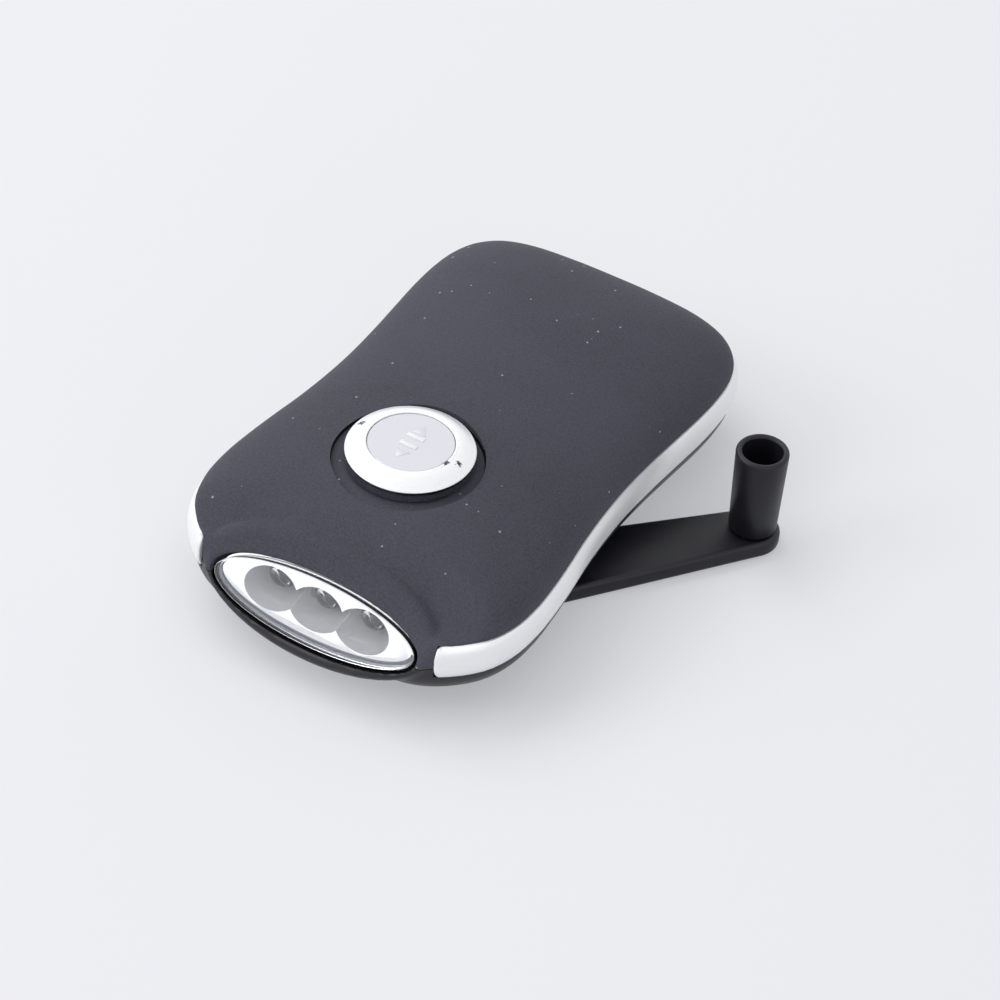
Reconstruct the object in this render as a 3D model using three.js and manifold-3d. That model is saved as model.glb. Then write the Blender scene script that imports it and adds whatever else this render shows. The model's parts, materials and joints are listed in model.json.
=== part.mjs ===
// Hand crank flashlight: two soft black covers, a silver side band, a round slide switch, three LEDs behind
// an oval lens, and a folding crank that drives a small generator through a gear train.
// Millimetres, +Z up. The origin is on the crank axis, on the surface that the arm's flat side rests on.
// The lens faces -Y, the rear end +Y.

import * as THREE from "three";
import { mergeVertices } from "three/addons/utils/BufferGeometryUtils.js";
import Module from "manifold-3d";

const wasm = await Module();
wasm.setup();

// Clearances
const gap = 0.3; // between pieces that rest on each other
const seam = 0.15; // between visible pieces that close a joint line
const runGap = 0.1; // round a turning shaft, pin or screw
const overrun = 2; // how far a cut runs past what it cuts

// Body shape
const halfWidth = 30; // of the covers at their parting line
const frontReach = 18; // crank axis to the covers' front edge
const rearReach = 79.2; // crank axis to the rear edge
const armThickness = 3.1;
const bottomDepth = 5.9; // bottom cover's lowest face to the band
const bandHeight = 6.2;
const wall = 1.6;
const bottomRound = 8; // width of the bottom cover's rounded edge
const hollowRound = 4; // and of the hollow's edge inside it
const spineFront = 12; // the crown's level ridge runs from here
const spineRear = 50; // to here
const domePower = 1.85; // 2 is an ellipse, more is squarer
const domeLedge = 0.25; // how far the dome's foot stands in from the band's edge
const domeTopDeg = 84; // last ring of the dome, short of its ridge
const outlineCount = 56; // points round the outline
const domeSteps = 6;
const bottomSteps = 4;
const outlineShares = [
  [0, 0], [0.333, 0.003], [0.585, 0.011], [0.747, 0.035], [0.913, 0.088], [0.983, 0.144], [1, 0.206],
  [0.989, 0.267], [0.967, 0.329], [0.94, 0.391], [0.92, 0.463], [0.912, 0.535], [0.92, 0.617], [0.938, 0.7],
  [0.953, 0.772], [0.953, 0.833], [0.933, 0.885], [0.873, 0.932], [0.76, 0.967], [0.583, 0.988],
  [0.3, 0.998], [0, 1],
]; // across, of halfWidth, and along, of the length from the front edge

// Side band
const bandSeat = 1.2; // depth of its groove in the covers
const bandBulge = 0.8; // how far it stands out past the covers
const bandBulgeShares = [0.1, 0.75, 1, 0.75, 0.1]; // of bandBulge, from its lower edge to its upper edge
const bandLevelShares = [0, 0.14, 0.5, 0.86, 1];
const tongue = 1.3; // cover wall left behind the groove
const noseHalf = 21.6; // half the nose's width, where the band ends beside it

// Nose, lens and reflector
const faceTilt = 30; // degrees that the lens leans back
const lensHalfWidth = 18.5;
const lensHalfHeight = 5.3;
const lensThickness = 1.8;
const lensBevel = 0.4;
const lensInset = 0.2; // lens front behind the nose's face
const lensCentreY = -16.5;
const lensCentreZ = 12;
const browFall = 1.2; // of the dome at the nose's middle
const shoulderFall = 2.6; // more at the nose's sides
const shoulderReach = 5.6; // back from the leaning face
const shoulderHalfWidth = 17;
const shoulderLeast = 0.15; // share of the dome's height that always stays
const noseAbove = 13; // nose face above the lens's centre, along the face, cut off by the dome
const noseBelow = 7.9;
const noseRound = 1.6;
const collarDepth = 5;
const collarBackHalfWidth = 20.5;
const collarBackAbove = 11;
const collarBackBelow = 3.5;
const ovalSides = 36;
const splitZ = 11; // the covers meet here, behind the band and at the nose
const reflectorBackY = -6.9;
const cupPitch = 8.5;
const cupMouthHalfWidth = 5;
const cupMouthHalfHeight = 2.9;
const cupMouthDrop = 0.5; // its middle under the LED's
const cupThroat = 2.75; // radius round the LED
const cupWaistShare = 0.45;
const cupWaistFlare = 0.7; // share of the whole flare at the waist

// LEDs and their board
const ledRadius = 2.5;
const ledFlangeRadius = 2.8;
const ledFlange = 1;
const ledLength = 7.4;
const ledSides = 12;
const boardThickness = 1.4;
const ledBoardHalf = 13;
const ledBoardBelow = 2.6;
const ledBoardAbove = 3.4;

// Slide switch on the top cover
const switchY = 11; // the button's centre at its rear stop
const buttonRadius = 10.5;
const buttonTop = 28.1;
const buttonRise = 2.1; // above the top cover's crown
const buttonThickness = 3.6;
const buttonFall = 1.3; // of its ring, from the disc out to the rim
const buttonRound = 0.9;
const discRadius = 7;
const discDepth = 1;
const discSink = 0.15; // disc face below the ring
const recessRadius = 12.3;
const recessSpareRear = 1.2; // space behind the button at its rear stop
const switchTravel = 2;
const padThickness = 1.6; // recess floor
const padMargin = 1.5;
const stemWidth = 5;
const stemDrop = 3; // below the button
const retainerHalf = 5.6;
const retainerThickness = 0.9;
const leverWidth = 1.6;
const leverTall = 4;
const switchCaseWidth = 4.4;
const switchCaseLength = 9;
const switchCaseHeight = 3.4;
const switchCaseSpace = 0.45; // under the retainer
const barLength = 2.9;
const barWidth = 0.75;
const barSpacing = 2.2;
const iconRise = 0.25;
const arrowHalfWidth = 1.3;
const arrowHeight = 2;
const arrowPlace = 2.3; // arrow's near side from the middle

// Crank
const armAngle = 50; // degrees from +X that the arm stands at rest
const armReach = 66.4; // crank axis to knob axis
const armHubWidth = 17;
const armHubLength = 8; // full width kept this far from the crank axis
const armEndRadius = 4.7;
const armEdge = 0.6; // rounding of its edges
const pinBack = 6; // fold pin behind the crank axis
const pinRadius = 0.8;
const earWidth = 6;
const earRadius = 1.25;
const hubRadius = 8;
const hubDepth = 1.7; // through the bottom wall
const hubHex = 3.4;
const shaftRadius = 1.5;
const spacerRadius = 2.65;
const knobTopRadius = 4.4;
const knobBaseRadius = 4;
const knobHeight = 16.2;
const knobBore = 3.3;
const knobWeb = 3;
const knobLip = 0.4;
const knobScrewHead = 2.5;
const knobScrewHeadHeight = 1.4;
const knobScrewRadius = 1.4;
const knobScrewFoot = 0.7; // floor left under it in the arm
const roundSides = 24;
const smallSides = 12;
const hexSides = 6;
const shaftSides = 8;

// Stow pocket for the knob
const pocketHalf = 5.5;
const pocketDepth = 17;
const pocketExtra = 2; // longer towards the rear, where the knob swings in
const pocketWall = 1.2;

// Gear train
const driveTeeth = 40;
const driveModule = 0.6;
const pinionTeeth = 10;
const idlerOneTeeth = 36;
const idlerOneModule = 0.5;
const idlerTwoTeeth = 32;
const idlerTwoModule = 0.4;
const bearingOneDeg = 65; // direction from the crank axis to idler one
const bearingTwoDeg = 110;
const bearingThreeDeg = 100;
const wheelShare = 0.1705; // a wheel's thickness, of the height for the gears
const stepShare = 0.2614; // from one wheel's level to the next, of that height
const pinionSpare = 0.3; // pinion wider than its wheel at each side
const idlerShaftRadius = 0.75;
const idlerHubRadius = 1.6;
const addendumShare = 0.85; // of the module
const dedendumShare = 1.05;
const backlashShare = 0.16;
const flankSlopeShare = 0.3;

// Gearbox plate and generator
const plateShare = 0.1364; // its thickness, of the height for the gears
const plateHalfWidth = 17;
const plateFront = -2.3;
const plateRear = 45;
const plateCorner = 3;
const postSpread = 15;
const postFrontY = 4;
const postRearY = 41.5;
const postRadius = 2.2;
const magnetRadius = 7.5;
const magnetHeight = 5;
const coilInner = 8.4;
const coilOuter = 10.6;
const statorWall = 0.9;
const statorInner = 8.2;
const bracketWidth = 5;
const bracketThickness = 0.9;
const bracketSpare = 1.4; // leg outside the stator
const rotorShaftTop = 1.2; // above the bracket

// Battery
const cellRadius = 5.7;
const cellLength = 5.2;
const cellCount = 3;
const cellGap = 0.2;
const wrapWall = 0.3;
const batteryY = 52.4;
const cradleWall = 1.2;
const cradleHeight = 4;

// Main board
const mainBoardHalf = 15;
const mainBoardFront = -1.8;
const mainBoardRear = 19.4;
const boardBossX = 11.3;
const boardBossY = 1.2;
const boardBossRadius = 2;

// Screws
const caseScrewX = 20.5;
const caseScrewFrontY = 2;
const caseScrewInset = 14.2; // rear ones, from the rear edge
const caseBossRadius = 3;
const screwRadius = 1.1;
const screwHeadRadius = 2;
const screwHeadHeight = 1.3;
const caseScrewLength = 10;
const plateScrewLength = 5;
const boardScrewLength = 4.4;
const counterboreDepth = 2.6;

// Wires inside
const wireRadius = 0.5;
const wireSides = 6;
const wireSteps = 8;
const generatorWireDeg = 225; // direction from the rotor to where its wire leaves

// Levels worked out from the sizes above
const bottomZ = armThickness + gap;
const bandLow = bottomZ + bottomDepth;
const bandTop = bandLow + bandHeight;
const crownZ = buttonTop - buttonRise;
const domeHeight = crownZ - bandTop;
const floorZ = bottomZ + wall;
const sideInset = bandSeat + tongue;
const pinZ = armThickness / 2;
const radians = THREE.MathUtils.degToRad;
const quarter = Math.PI / 2;
const halfTurn = Math.PI;

// Levels of the switch and the main board, from the button down
const buttonLow = buttonTop - buttonThickness;
const padTop = buttonLow - gap;
const padLow = padTop - padThickness;
const stemLow = buttonLow - stemDrop;
const retainerLow = padLow - gap - retainerThickness;
const caseTop = retainerLow - switchCaseSpace;
const mainBoardTop = caseTop - switchCaseHeight - seam;
const mainBoardZ = mainBoardTop - boardThickness;
const boardMiddleZ = mainBoardZ + boardThickness / 2;

// Levels of the gears, from the floor up to the main board
const gearSpace = mainBoardZ - floorZ - screwHeadHeight - gap * 3;
const wheelThickness = gearSpace * wheelShare;
const levelStep = gearSpace * stepShare;
const plateThickness = gearSpace * plateShare;
const driveLow = floorZ + gap;
const driveTop = driveLow + wheelThickness;
const wheelTwoLow = driveLow + levelStep;
const wheelThreeLow = wheelTwoLow + levelStep;
const plateLow = wheelThreeLow + wheelThickness + gap + gap;
const plateTop = plateLow + plateThickness;

// Materials
const rubber = { color: 0x3a3b3f, roughness: 0.75, metalness: 0 };
const silver = { color: 0xd8d9dc, roughness: 0.3, metalness: 0.9 };
const satin = { color: 0xb9bbc0, roughness: 0.45, metalness: 0.6 };
const blackPlastic = { color: 0x242428, roughness: 0.5, metalness: 0 };
const clearPlastic = { color: 0xe8eef2, roughness: 0.1, metalness: 0 };
const chrome = { color: 0xf0f0f2, roughness: 0.1, metalness: 1 };
const steel = { color: 0x9a9ca0, roughness: 0.35, metalness: 0.9 };
const whiteNylon = { color: 0xe6e4dc, roughness: 0.5, metalness: 0 };
const brass = { color: 0xc2a04e, roughness: 0.35, metalness: 0.9 };
const greenBoard = { color: 0x2d6b3f, roughness: 0.5, metalness: 0 };
const copper = { color: 0xb5703a, roughness: 0.4, metalness: 0.8 };
const ferrite = { color: 0x34343a, roughness: 0.6, metalness: 0.2 };
const cellSteel = { color: 0xb4b7bb, roughness: 0.3, metalness: 0.8 };
const greenWrap = { color: 0x3f8f5a, roughness: 0.4, metalness: 0 };
const redWire = { color: 0xb02a22, roughness: 0.5, metalness: 0 };
const blackWire = { color: 0x1d1d1f, roughness: 0.5, metalness: 0 };

const flashlight = new THREE.Group();
flashlight.name = "hand_crank_flashlight";

// Closed geometry to solid
function solidOf(geometry) {
  const bare = geometry.clone();
  bare.deleteAttribute("normal");
  bare.deleteAttribute("uv");
  const merged = mergeVertices(bare);
  const vertProperties = Float32Array.from(merged.attributes.position.array);
  const triVerts = Uint32Array.from(merged.index.array);
  return new wasm.Manifold(new wasm.Mesh({ numProp: 3, vertProperties, triVerts }));
}

// Solid to named mesh in a group
function place(name, solid, finish, parent = flashlight) {
  const data = solid.getMesh();
  const geometry = new THREE.BufferGeometry();
  geometry.setAttribute("position", new THREE.BufferAttribute(data.vertProperties, 3));
  geometry.setIndex(new THREE.BufferAttribute(data.triVerts, 1));
  geometry.computeVertexNormals();
  const mesh = new THREE.Mesh(geometry, new THREE.MeshStandardMaterial(finish));
  mesh.name = name;
  parent.add(mesh);
  return mesh;
}

// Upright cylinder between two levels
function rod(radius, low, high, x = 0, y = 0, sides = smallSides) {
  const geometry = new THREE.CylinderGeometry(radius, radius, high - low, sides);
  geometry.rotateX(quarter);
  geometry.translate(x, y, (low + high) / 2);
  return solidOf(geometry);
}

// Box from its low corner to its high corner
function block(x0, y0, z0, x1, y1, z1) {
  const geometry = new THREE.BoxGeometry(x1 - x0, y1 - y0, z1 - z0);
  geometry.translate((x0 + x1) / 2, (y0 + y1) / 2, (z0 + z1) / 2);
  return solidOf(geometry);
}

// Turned piece: its profile runs from the axis round and back to the axis, as [radius, level]
function turned(profile, sides = roundSides) {
  const points = profile.map(([radius, level]) => new THREE.Vector2(radius, level));
  const geometry = new THREE.LatheGeometry(points, sides);
  geometry.rotateX(quarter);
  return solidOf(geometry);
}

// Upright prism on a flat shape
function prism(shape, low, high, curveSegments = smallSides) {
  const options = { depth: high - low, bevelEnabled: false, curveSegments };
  const geometry = new THREE.ExtrudeGeometry(shape, options);
  geometry.translate(0, 0, low);
  return solidOf(geometry);
}

// Closed solid through rings that are alike left and right, each counted from its middle
function loft(rings) {
  const count = rings[0].length;
  const top = (rings.length - 1) * count;
  const index = [];
  const triangle = (a, b, c) => index.push(a, b, c);
  for (let k = 0; k + 1 < rings.length; k += 1) {
    const low = k * count;
    const high = low + count;
    for (let i = 0; i < count; i += 1) {
      const next = (i + 1) % count;
      triangle(low + i, low + next, high + next);
      triangle(low + i, high + next, high + i);
    }
  }
  for (let a = 0; a < count / 2; a += 1) {
    const b = a + 1;
    const c = count - b;
    const d = (count - a) % count;
    if (b !== c) {
      triangle(c, b, a);
      triangle(top + a, top + b, top + c);
    }
    if (a !== d) {
      triangle(d, c, a);
      triangle(top + a, top + c, top + d);
    }
  }
  const positions = rings.flat().flatMap((point) => point.toArray());
  const geometry = new THREE.BufferGeometry();
  geometry.setAttribute("position", new THREE.Float32BufferAttribute(positions, 3));
  geometry.setIndex(index);
  return solidOf(geometry);
}

// The covers' outline at their parting line, counted from the front middle
const bodyLength = frontReach + rearReach;
const rightSide = outlineShares.map(([across, along]) =>
  new THREE.Vector3(across * halfWidth, along * bodyLength - frontReach, 0));
const leftSide = rightSide.slice(1, -1).reverse().map((p) => new THREE.Vector3(-p.x, p.y, 0));
const outlineCurve = new THREE.CatmullRomCurve3([...rightSide, ...leftSide], true);
const outline = outlineCurve.getSpacedPoints(outlineCount).slice(0, outlineCount);

// The outline moved in towards the ridge by a length and then by a share of what is left, at a level
function bodyRing(inset, share, level) {
  return outline.map((p) => {
    const ridge = new THREE.Vector3(0, THREE.MathUtils.clamp(p.y, spineFront, spineRear), 0);
    const edge = p.clone().add(ridge.clone().sub(p).setLength(inset));
    return edge.lerp(ridge, share).setZ(level);
  });
}

// A point of the dome, lowered where the dome falls towards the nose, most of all at the nose's sides
function shoulder(p) {
  const lean = radians(faceTilt);
  const behind = (p.y - lensCentreY) * Math.cos(lean) - (p.z - lensCentreZ) * Math.sin(lean);
  const near = THREE.MathUtils.smoothstep(shoulderReach - behind, 0, shoulderReach);
  const outward = Math.min(Math.abs(p.x) / shoulderHalfWidth, 1) ** 2;
  const height = p.z - bandTop;
  const fall = near * (browFall + shoulderFall * outward);
  return p.clone().setZ(bandTop + Math.max(height - fall, height * shoulderLeast));
}

// The body as one closed form, its sides and its thickness drawn in for the hollow
function bodyForm(sideIn, thicknessIn, round = bottomRound) {
  const rings = [];
  for (let i = 0; i <= bottomSteps; i += 1) {
    const turn = (quarter * i) / bottomSteps;
    const level = bandLow - (bottomDepth - thicknessIn) * Math.cos(turn);
    rings.push(bodyRing(sideIn + round * (1 - Math.sin(turn)), 0, level));
  }
  for (let i = 0; i <= domeSteps; i += 1) {
    const turn = (radians(domeTopDeg) * i) / domeSteps;
    const share = 1 - Math.cos(turn) ** (2 / domePower);
    const rise = Math.sin(turn) ** (2 / domePower);
    const level = bandTop + (domeHeight - thicknessIn) * rise;
    rings.push(bodyRing(sideIn + domeLedge, share, level).map(shoulder));
  }
  return loft(rings);
}

// An upright ring-shaped wall's form between two insets of the outline
function wallForm(inset, low, high) {
  return loft([bodyRing(inset, 0, low), bodyRing(inset, 0, high)]);
}

// Side band
const noseBlock = block(-noseHalf, -frontReach - overrun, bandLow - overrun, noseHalf, 0, bandTop + overrun);

function bandGroove() {
  const outer = wallForm(-overrun, bandLow, bandTop);
  const inner = wallForm(bandSeat, bandLow - overrun, bandTop + overrun);
  return outer.subtract(inner).subtract(noseBlock);
}

function sideBand() {
  const low = bandLow + seam;
  const height = bandHeight - seam * 2;
  const rings = bandLevelShares.map((share, i) =>
    bodyRing(-bandBulge * bandBulgeShares[i], 0, low + height * share));
  const inner = wallForm(bandSeat - gap, bandLow - overrun, bandTop + overrun);
  const clearNose = noseBlock.translate([seam, 0, 0]).add(noseBlock.translate([-seam, 0, 0]));
  return loft(rings).subtract(inner).subtract(clearNose);
}

// The nose's leaning face: its own X is across, its Y is up the face and its Z points out of it
const face = new THREE.Matrix4()
  .makeTranslation(0, lensCentreY, lensCentreZ)
  .multiply(new THREE.Matrix4().makeRotationX(radians(90 - faceTilt)));

function onFace(solid) {
  return solid.transform(face.toArray());
}

function ovalRing(halfAcross, above, below, depth) {
  return Array.from({ length: ovalSides }, (_, i) => {
    const turn = (i / ovalSides) * halfTurn * 2 - quarter;
    const middle = (above - below) / 2;
    const half = (above + below) / 2;
    return new THREE.Vector3(halfAcross * Math.cos(turn), middle + half * Math.sin(turn), depth);
  });
}

function noseCollar() {
  const edge = noseRound * (1 - Math.SQRT1_2);
  const lip = (cut, depth) => ovalRing(noseHalf - cut, noseAbove, noseBelow - cut, depth);
  const back = ovalRing(collarBackHalfWidth, collarBackAbove, collarBackBelow, -collarDepth);
  const collar = onFace(loft([back, lip(0, -noseRound), lip(edge, -edge), lip(noseRound, 0)]));
  return collar.intersect(bodyOuter.add(slab(0, bandTop)));
}

function inFrontOfFace(depth = 0) {
  const wide = halfWidth + overrun;
  return onFace(block(-wide, -wide, depth, wide, wide, wide));
}

function lensPlate(grow, front, back) {
  const across = lensHalfWidth + grow;
  const high = lensHalfHeight + grow;
  return loft([ovalRing(across, high, high, back), ovalRing(across, high, high, front)]);
}

function lens() {
  const front = -lensInset;
  const back = front - lensThickness;
  const across = lensHalfWidth - lensBevel;
  const high = lensHalfHeight - lensBevel;
  return onFace(loft([
    ovalRing(lensHalfWidth, lensHalfHeight, lensHalfHeight, back),
    ovalRing(lensHalfWidth, lensHalfHeight, lensHalfHeight, front - lensBevel),
    ovalRing(across, high, high, front),
  ]));
}

// Level oval bar along Y behind the lens, cut off by the face at a depth
const reflectorFront = -lensInset - lensThickness - gap;
const levelSquash = Math.cos(radians(faceTilt));

function ovalBar(grow, rear, depth) {
  const across = lensHalfWidth - gap - gap + grow;
  const high = (lensHalfHeight - gap - gap) * levelSquash + grow;
  const ring = (y) => ovalRing(across, high, high, 0)
    .map((p) => new THREE.Vector3(p.x, y, lensCentreZ + p.y));
  return loft([ring(rear), ring(-frontReach - collarDepth)]).subtract(inFrontOfFace(depth));
}

// Hollow of a cup, round at the LED and wider than high at its mouth, where the cups run together
function cup(x) {
  const length = reflectorBackY - lensCentreY;
  const ring = (flare, along) => {
    const across = cupThroat + (cupMouthHalfWidth - cupThroat) * flare;
    const high = cupThroat + (cupMouthHalfHeight - cupThroat) * flare;
    const level = lensCentreZ - cupMouthDrop * flare;
    return ovalRing(across, high, high, 0)
      .map((p) => new THREE.Vector3(x + p.x, reflectorBackY - along, level + p.y));
  };
  return loft([
    ring(0, -overrun),
    ring(0, 0),
    ring(cupWaistFlare, length * cupWaistShare),
    ring(1, length),
    ring(1, length * 2),
  ]);
}

function reflector() {
  return cupPlaces().reduce((solid, x) => solid.subtract(cup(x)), ovalBar(0, reflectorBackY, reflectorFront));
}

function cupPlaces() {
  return [-cupPitch, 0, cupPitch];
}

// LEDs stand out of their board towards the lens
const ledBackY = reflectorBackY + gap + ledFlange;

function led(x) {
  const shoulder = ledLength - ledRadius;
  const round = Math.SQRT1_2;
  const profile = [
    [0, 0],
    [ledFlangeRadius, 0],
    [ledFlangeRadius, ledFlange],
    [ledRadius, ledFlange],
    [ledRadius, shoulder],
    [ledRadius * round, shoulder + ledRadius * round],
    [0, ledLength],
  ];
  return turned(profile, ledSides).rotate([90, 0, 0]).translate([x, ledBackY, lensCentreZ]);
}

const ledBoardFront = ledBackY + seam;

function ledBoard() {
  return block(-ledBoardHalf, ledBoardFront, lensCentreZ - ledBoardBelow, ledBoardHalf,
    ledBoardFront + boardThickness, lensCentreZ + ledBoardAbove);
}

// Slide switch
const recessY = switchY + recessSpareRear + buttonRadius - recessRadius;

function roundButton() {
  const edge = buttonRound * (1 - Math.SQRT1_2);
  const rimTop = buttonTop - buttonFall;
  const seat = discRadius + seam;
  const seatLevel = buttonTop - discSink - discDepth - seam;
  const profile = [
    [0, buttonLow],
    [buttonRadius - buttonRound / 2, buttonLow],
    [buttonRadius, buttonLow + buttonRound / 2],
    [buttonRadius, rimTop - buttonRound],
    [buttonRadius - edge, rimTop - edge],
    [buttonRadius - buttonRound, rimTop],
    [seat, buttonTop],
    [seat, seatLevel],
    [0, seatLevel],
  ];
  const half = stemWidth / 2;
  const slot = (leverWidth + gap) / 2;
  const stem = block(-half, -half, stemLow, half, half, buttonLow + buttonRound);
  const leverHole = block(-slot, -slot, stemLow - overrun, slot, slot, stemLow + leverTall / 2);
  return turned(profile).add(stem).subtract(leverHole).translate([0, switchY, 0]);
}

function arrow(side) {
  const near = side * arrowPlace;
  const shape = new THREE.Shape();
  shape.moveTo(-arrowHalfWidth * side, near);
  shape.lineTo(arrowHalfWidth * side, near);
  shape.lineTo(0, near + side * arrowHeight);
  shape.closePath();
  return shape;
}

function switchDisc() {
  const top = buttonTop - discSink;
  const plain = rod(discRadius, top - discDepth, top, 0, 0, roundSides);
  const half = barLength / 2;
  const bars = [-barSpacing / 2, barSpacing / 2].map((y) =>
    block(-half, y - barWidth / 2, top - discDepth / 2, half, y + barWidth / 2, top + iconRise));
  const arrows = [-1, 1].map((side) => prism(arrow(side), top - discDepth / 2, top + iconRise));
  return [...bars, ...arrows].reduce((solid, icon) => solid.add(icon), plain).translate([0, switchY, 0]);
}

// Plate round the stem, under the recess floor, that keeps the button on the cover
function switchRetainer() {
  const top = retainerLow + retainerThickness;
  const half = stemWidth / 2 + seam;
  const plate = block(-retainerHalf, -retainerHalf, retainerLow, retainerHalf, retainerHalf, top);
  const hole = block(-half, -half, retainerLow - overrun, half, half, top + overrun);
  return plate.subtract(hole).translate([0, switchY, 0]);
}

function switchLever() {
  const half = leverWidth / 2;
  const low = stemLow + leverTall / 2 - gap - leverTall;
  return block(-half, switchY - half, low, half, switchY + half, low + leverTall);
}

function switchCase() {
  const middle = switchY - switchTravel / 2;
  const halfLength = switchCaseLength / 2;
  const halfWide = switchCaseWidth / 2;
  const slotHalf = leverWidth / 2 + seam;
  const slotReach = (leverWidth + switchTravel) / 2 + gap;
  const low = mainBoardTop + seam;
  const body = block(-halfWide, middle - halfLength, low, halfWide, middle + halfLength, caseTop);
  return body.subtract(block(-slotHalf, middle - slotReach, low + leverWidth / 2, slotHalf,
    middle + slotReach, caseTop + overrun));
}

// Top cover: the upper part of the body with the switch's recess, screw bosses and board bosses
const bodyOuter = bodyForm(0, 0);
const hollow = bodyForm(sideInset, wall, hollowRound);
const underCrown = bodyForm(wall / 2, wall / 2);
const covers = bodyOuter.subtract(bandGroove()).subtract(hollow).add(noseCollar()).subtract(inFrontOfFace())
  .subtract(onFace(lensPlate(gap, overrun, -lensInset - lensThickness - gap)))
  .subtract(ovalBar(gap, reflectorBackY, -lensInset));

function slab(low, high) {
  const wide = halfWidth + overrun;
  return block(-wide, -wide, low, wide, bodyLength, high);
}

function caseScrewPlaces() {
  return [-1, 1].flatMap((side) => [
    [side * caseScrewX, caseScrewFrontY],
    [side * caseScrewX, rearReach - caseScrewInset],
  ]);
}

function boardScrewPlaces() {
  return [-1, 1].map((side) => [side * boardBossX, boardBossY]);
}

const shoulderZ = bottomZ + counterboreDepth; // case screw heads seat under this level
const boardBossLow = mainBoardTop + gap;

function topCover() {
  const long = switchTravel + recessSpareRear;
  const pad = rod(recessRadius + padMargin, padLow, crownZ, 0, recessY, roundSides);
  const caseBosses = caseScrewPlaces().map(([x, y]) => rod(caseBossRadius, splitZ + gap, crownZ, x, y));
  const boardBosses = boardScrewPlaces().map(([x, y]) => rod(boardBossRadius, boardBossLow, crownZ, x, y));
  let cover = [pad, ...caseBosses, ...boardBosses]
    .reduce((solid, boss) => solid.add(boss.intersect(underCrown)), covers);
  cover = cover.intersect(slab(splitZ + seam / 2, crownZ + overrun));
  cover = cover.subtract(rod(recessRadius, padTop, crownZ + overrun, 0, recessY, roundSides));
  const half = stemWidth / 2 + gap;
  cover = cover.subtract(block(-half, switchY - half - long, padLow - overrun, half, switchY + half, crownZ));
  for (const [x, y] of caseScrewPlaces()) {
    cover = cover.subtract(rod(screwRadius + seam, 0, shoulderZ + caseScrewLength + gap, x, y));
  }
  for (const [x, y] of boardScrewPlaces()) {
    cover = cover.subtract(rod(screwRadius + seam, 0, mainBoardZ + boardScrewLength + gap, x, y));
  }
  return cover;
}

// Bottom cover: the hub's hole, the knob's pocket, posts for the gearbox plate and a cradle for the battery
function obround(half, long, low, high) {
  const shape = new THREE.Shape();
  shape.absarc(0, 0, half, halfTurn, 0, false);
  shape.absarc(0, long, half, 0, halfTurn, false);
  shape.closePath();
  return prism(shape, low, high).translate([0, armReach, 0]);
}

// The pocket's outside, 0, or its inside, its wall's thickness, kept under the top cover's slope
function pocketForm(inside) {
  const roof = bodyForm(sideInset + gap + inside, wall + gap + inside).add(slab(0, splitZ));
  const low = inside > 0 ? 0 : bottomZ;
  const high = bottomZ + pocketDepth + pocketWall - inside;
  return obround(pocketHalf + pocketWall - inside, pocketExtra, low, high).intersect(roof);
}

function postPlaces() {
  return [-1, 1].flatMap((side) => [[side * postSpread, postFrontY], [side * postSpread, postRearY]]);
}

const batteryRadius = cellRadius + seam + wrapWall;
const batteryZ = floorZ + gap + batteryRadius;
const batteryHalf = (cellCount * cellLength + (cellCount - 1) * cellGap) / 2;

function cradle() {
  const half = batteryHalf + gap + cradleWall;
  const deep = batteryRadius * Math.SQRT1_2 + cradleWall;
  const box = block(-half, batteryY - deep, floorZ - wall / 2, half, batteryY + deep, floorZ + cradleHeight);
  const cut = rod(batteryRadius + gap, -batteryHalf - gap, batteryHalf + gap, 0, 0, roundSides)
    .rotate([0, 90, 0]).translate([0, batteryY, batteryZ]);
  const openHalf = batteryHalf - cradleWall * 2;
  const reach = deep + overrun;
  const open = block(-openHalf, batteryY - reach, floorZ, openHalf, batteryY + reach, plateLow);
  return box.subtract(cut).subtract(open);
}

function bottomCover() {
  const lowFloor = bottomZ + wall / 2;
  const parts = [
    pocketForm(0),
    cradle(),
    ...caseScrewPlaces().map(([x, y]) => rod(caseBossRadius, bottomZ, splitZ - gap, x, y)),
    ...postPlaces().map(([x, y]) => rod(postRadius, lowFloor, plateLow - seam, x, y)),
    ...idlers().map(({ x, y, floor }) => rod(idlerHubRadius, lowFloor, floor, x, y)),
  ];
  let cover = covers.intersect(slab(0, splitZ - seam / 2));
  cover = parts.reduce((solid, part) => solid.add(part.intersect(bodyOuter)), cover);
  cover = cover.subtract(rod(hubRadius + gap, 0, floorZ + overrun, 0, 0, roundSides));
  cover = cover.subtract(pocketForm(pocketWall));
  for (const [x, y] of caseScrewPlaces()) {
    cover = cover.subtract(rod(screwHeadRadius + gap, 0, shoulderZ, x, y));
    cover = cover.subtract(rod(screwRadius + seam, 0, splitZ, x, y));
  }
  for (const [x, y] of postPlaces()) {
    cover = cover.subtract(rod(screwRadius + seam, plateTop - plateScrewLength - gap, plateLow, x, y));
  }
  for (const { x, y, footLow } of idlers()) {
    cover = cover.subtract(rod(idlerShaftRadius + runGap, footLow, plateLow, x, y));
  }
  return cover;
}

// Regular polygon with a corner on its +X side
function polygon(radius, sides, Outline) {
  const path = new Outline();
  for (let i = 0; i < sides; i += 1) {
    const turn = (i / sides) * halfTurn * 2;
    const x = radius * Math.cos(turn);
    const y = radius * Math.sin(turn);
    if (i === 0) path.moveTo(x, y);
    else path.lineTo(x, y);
  }
  path.closePath();
  return path;
}

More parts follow.
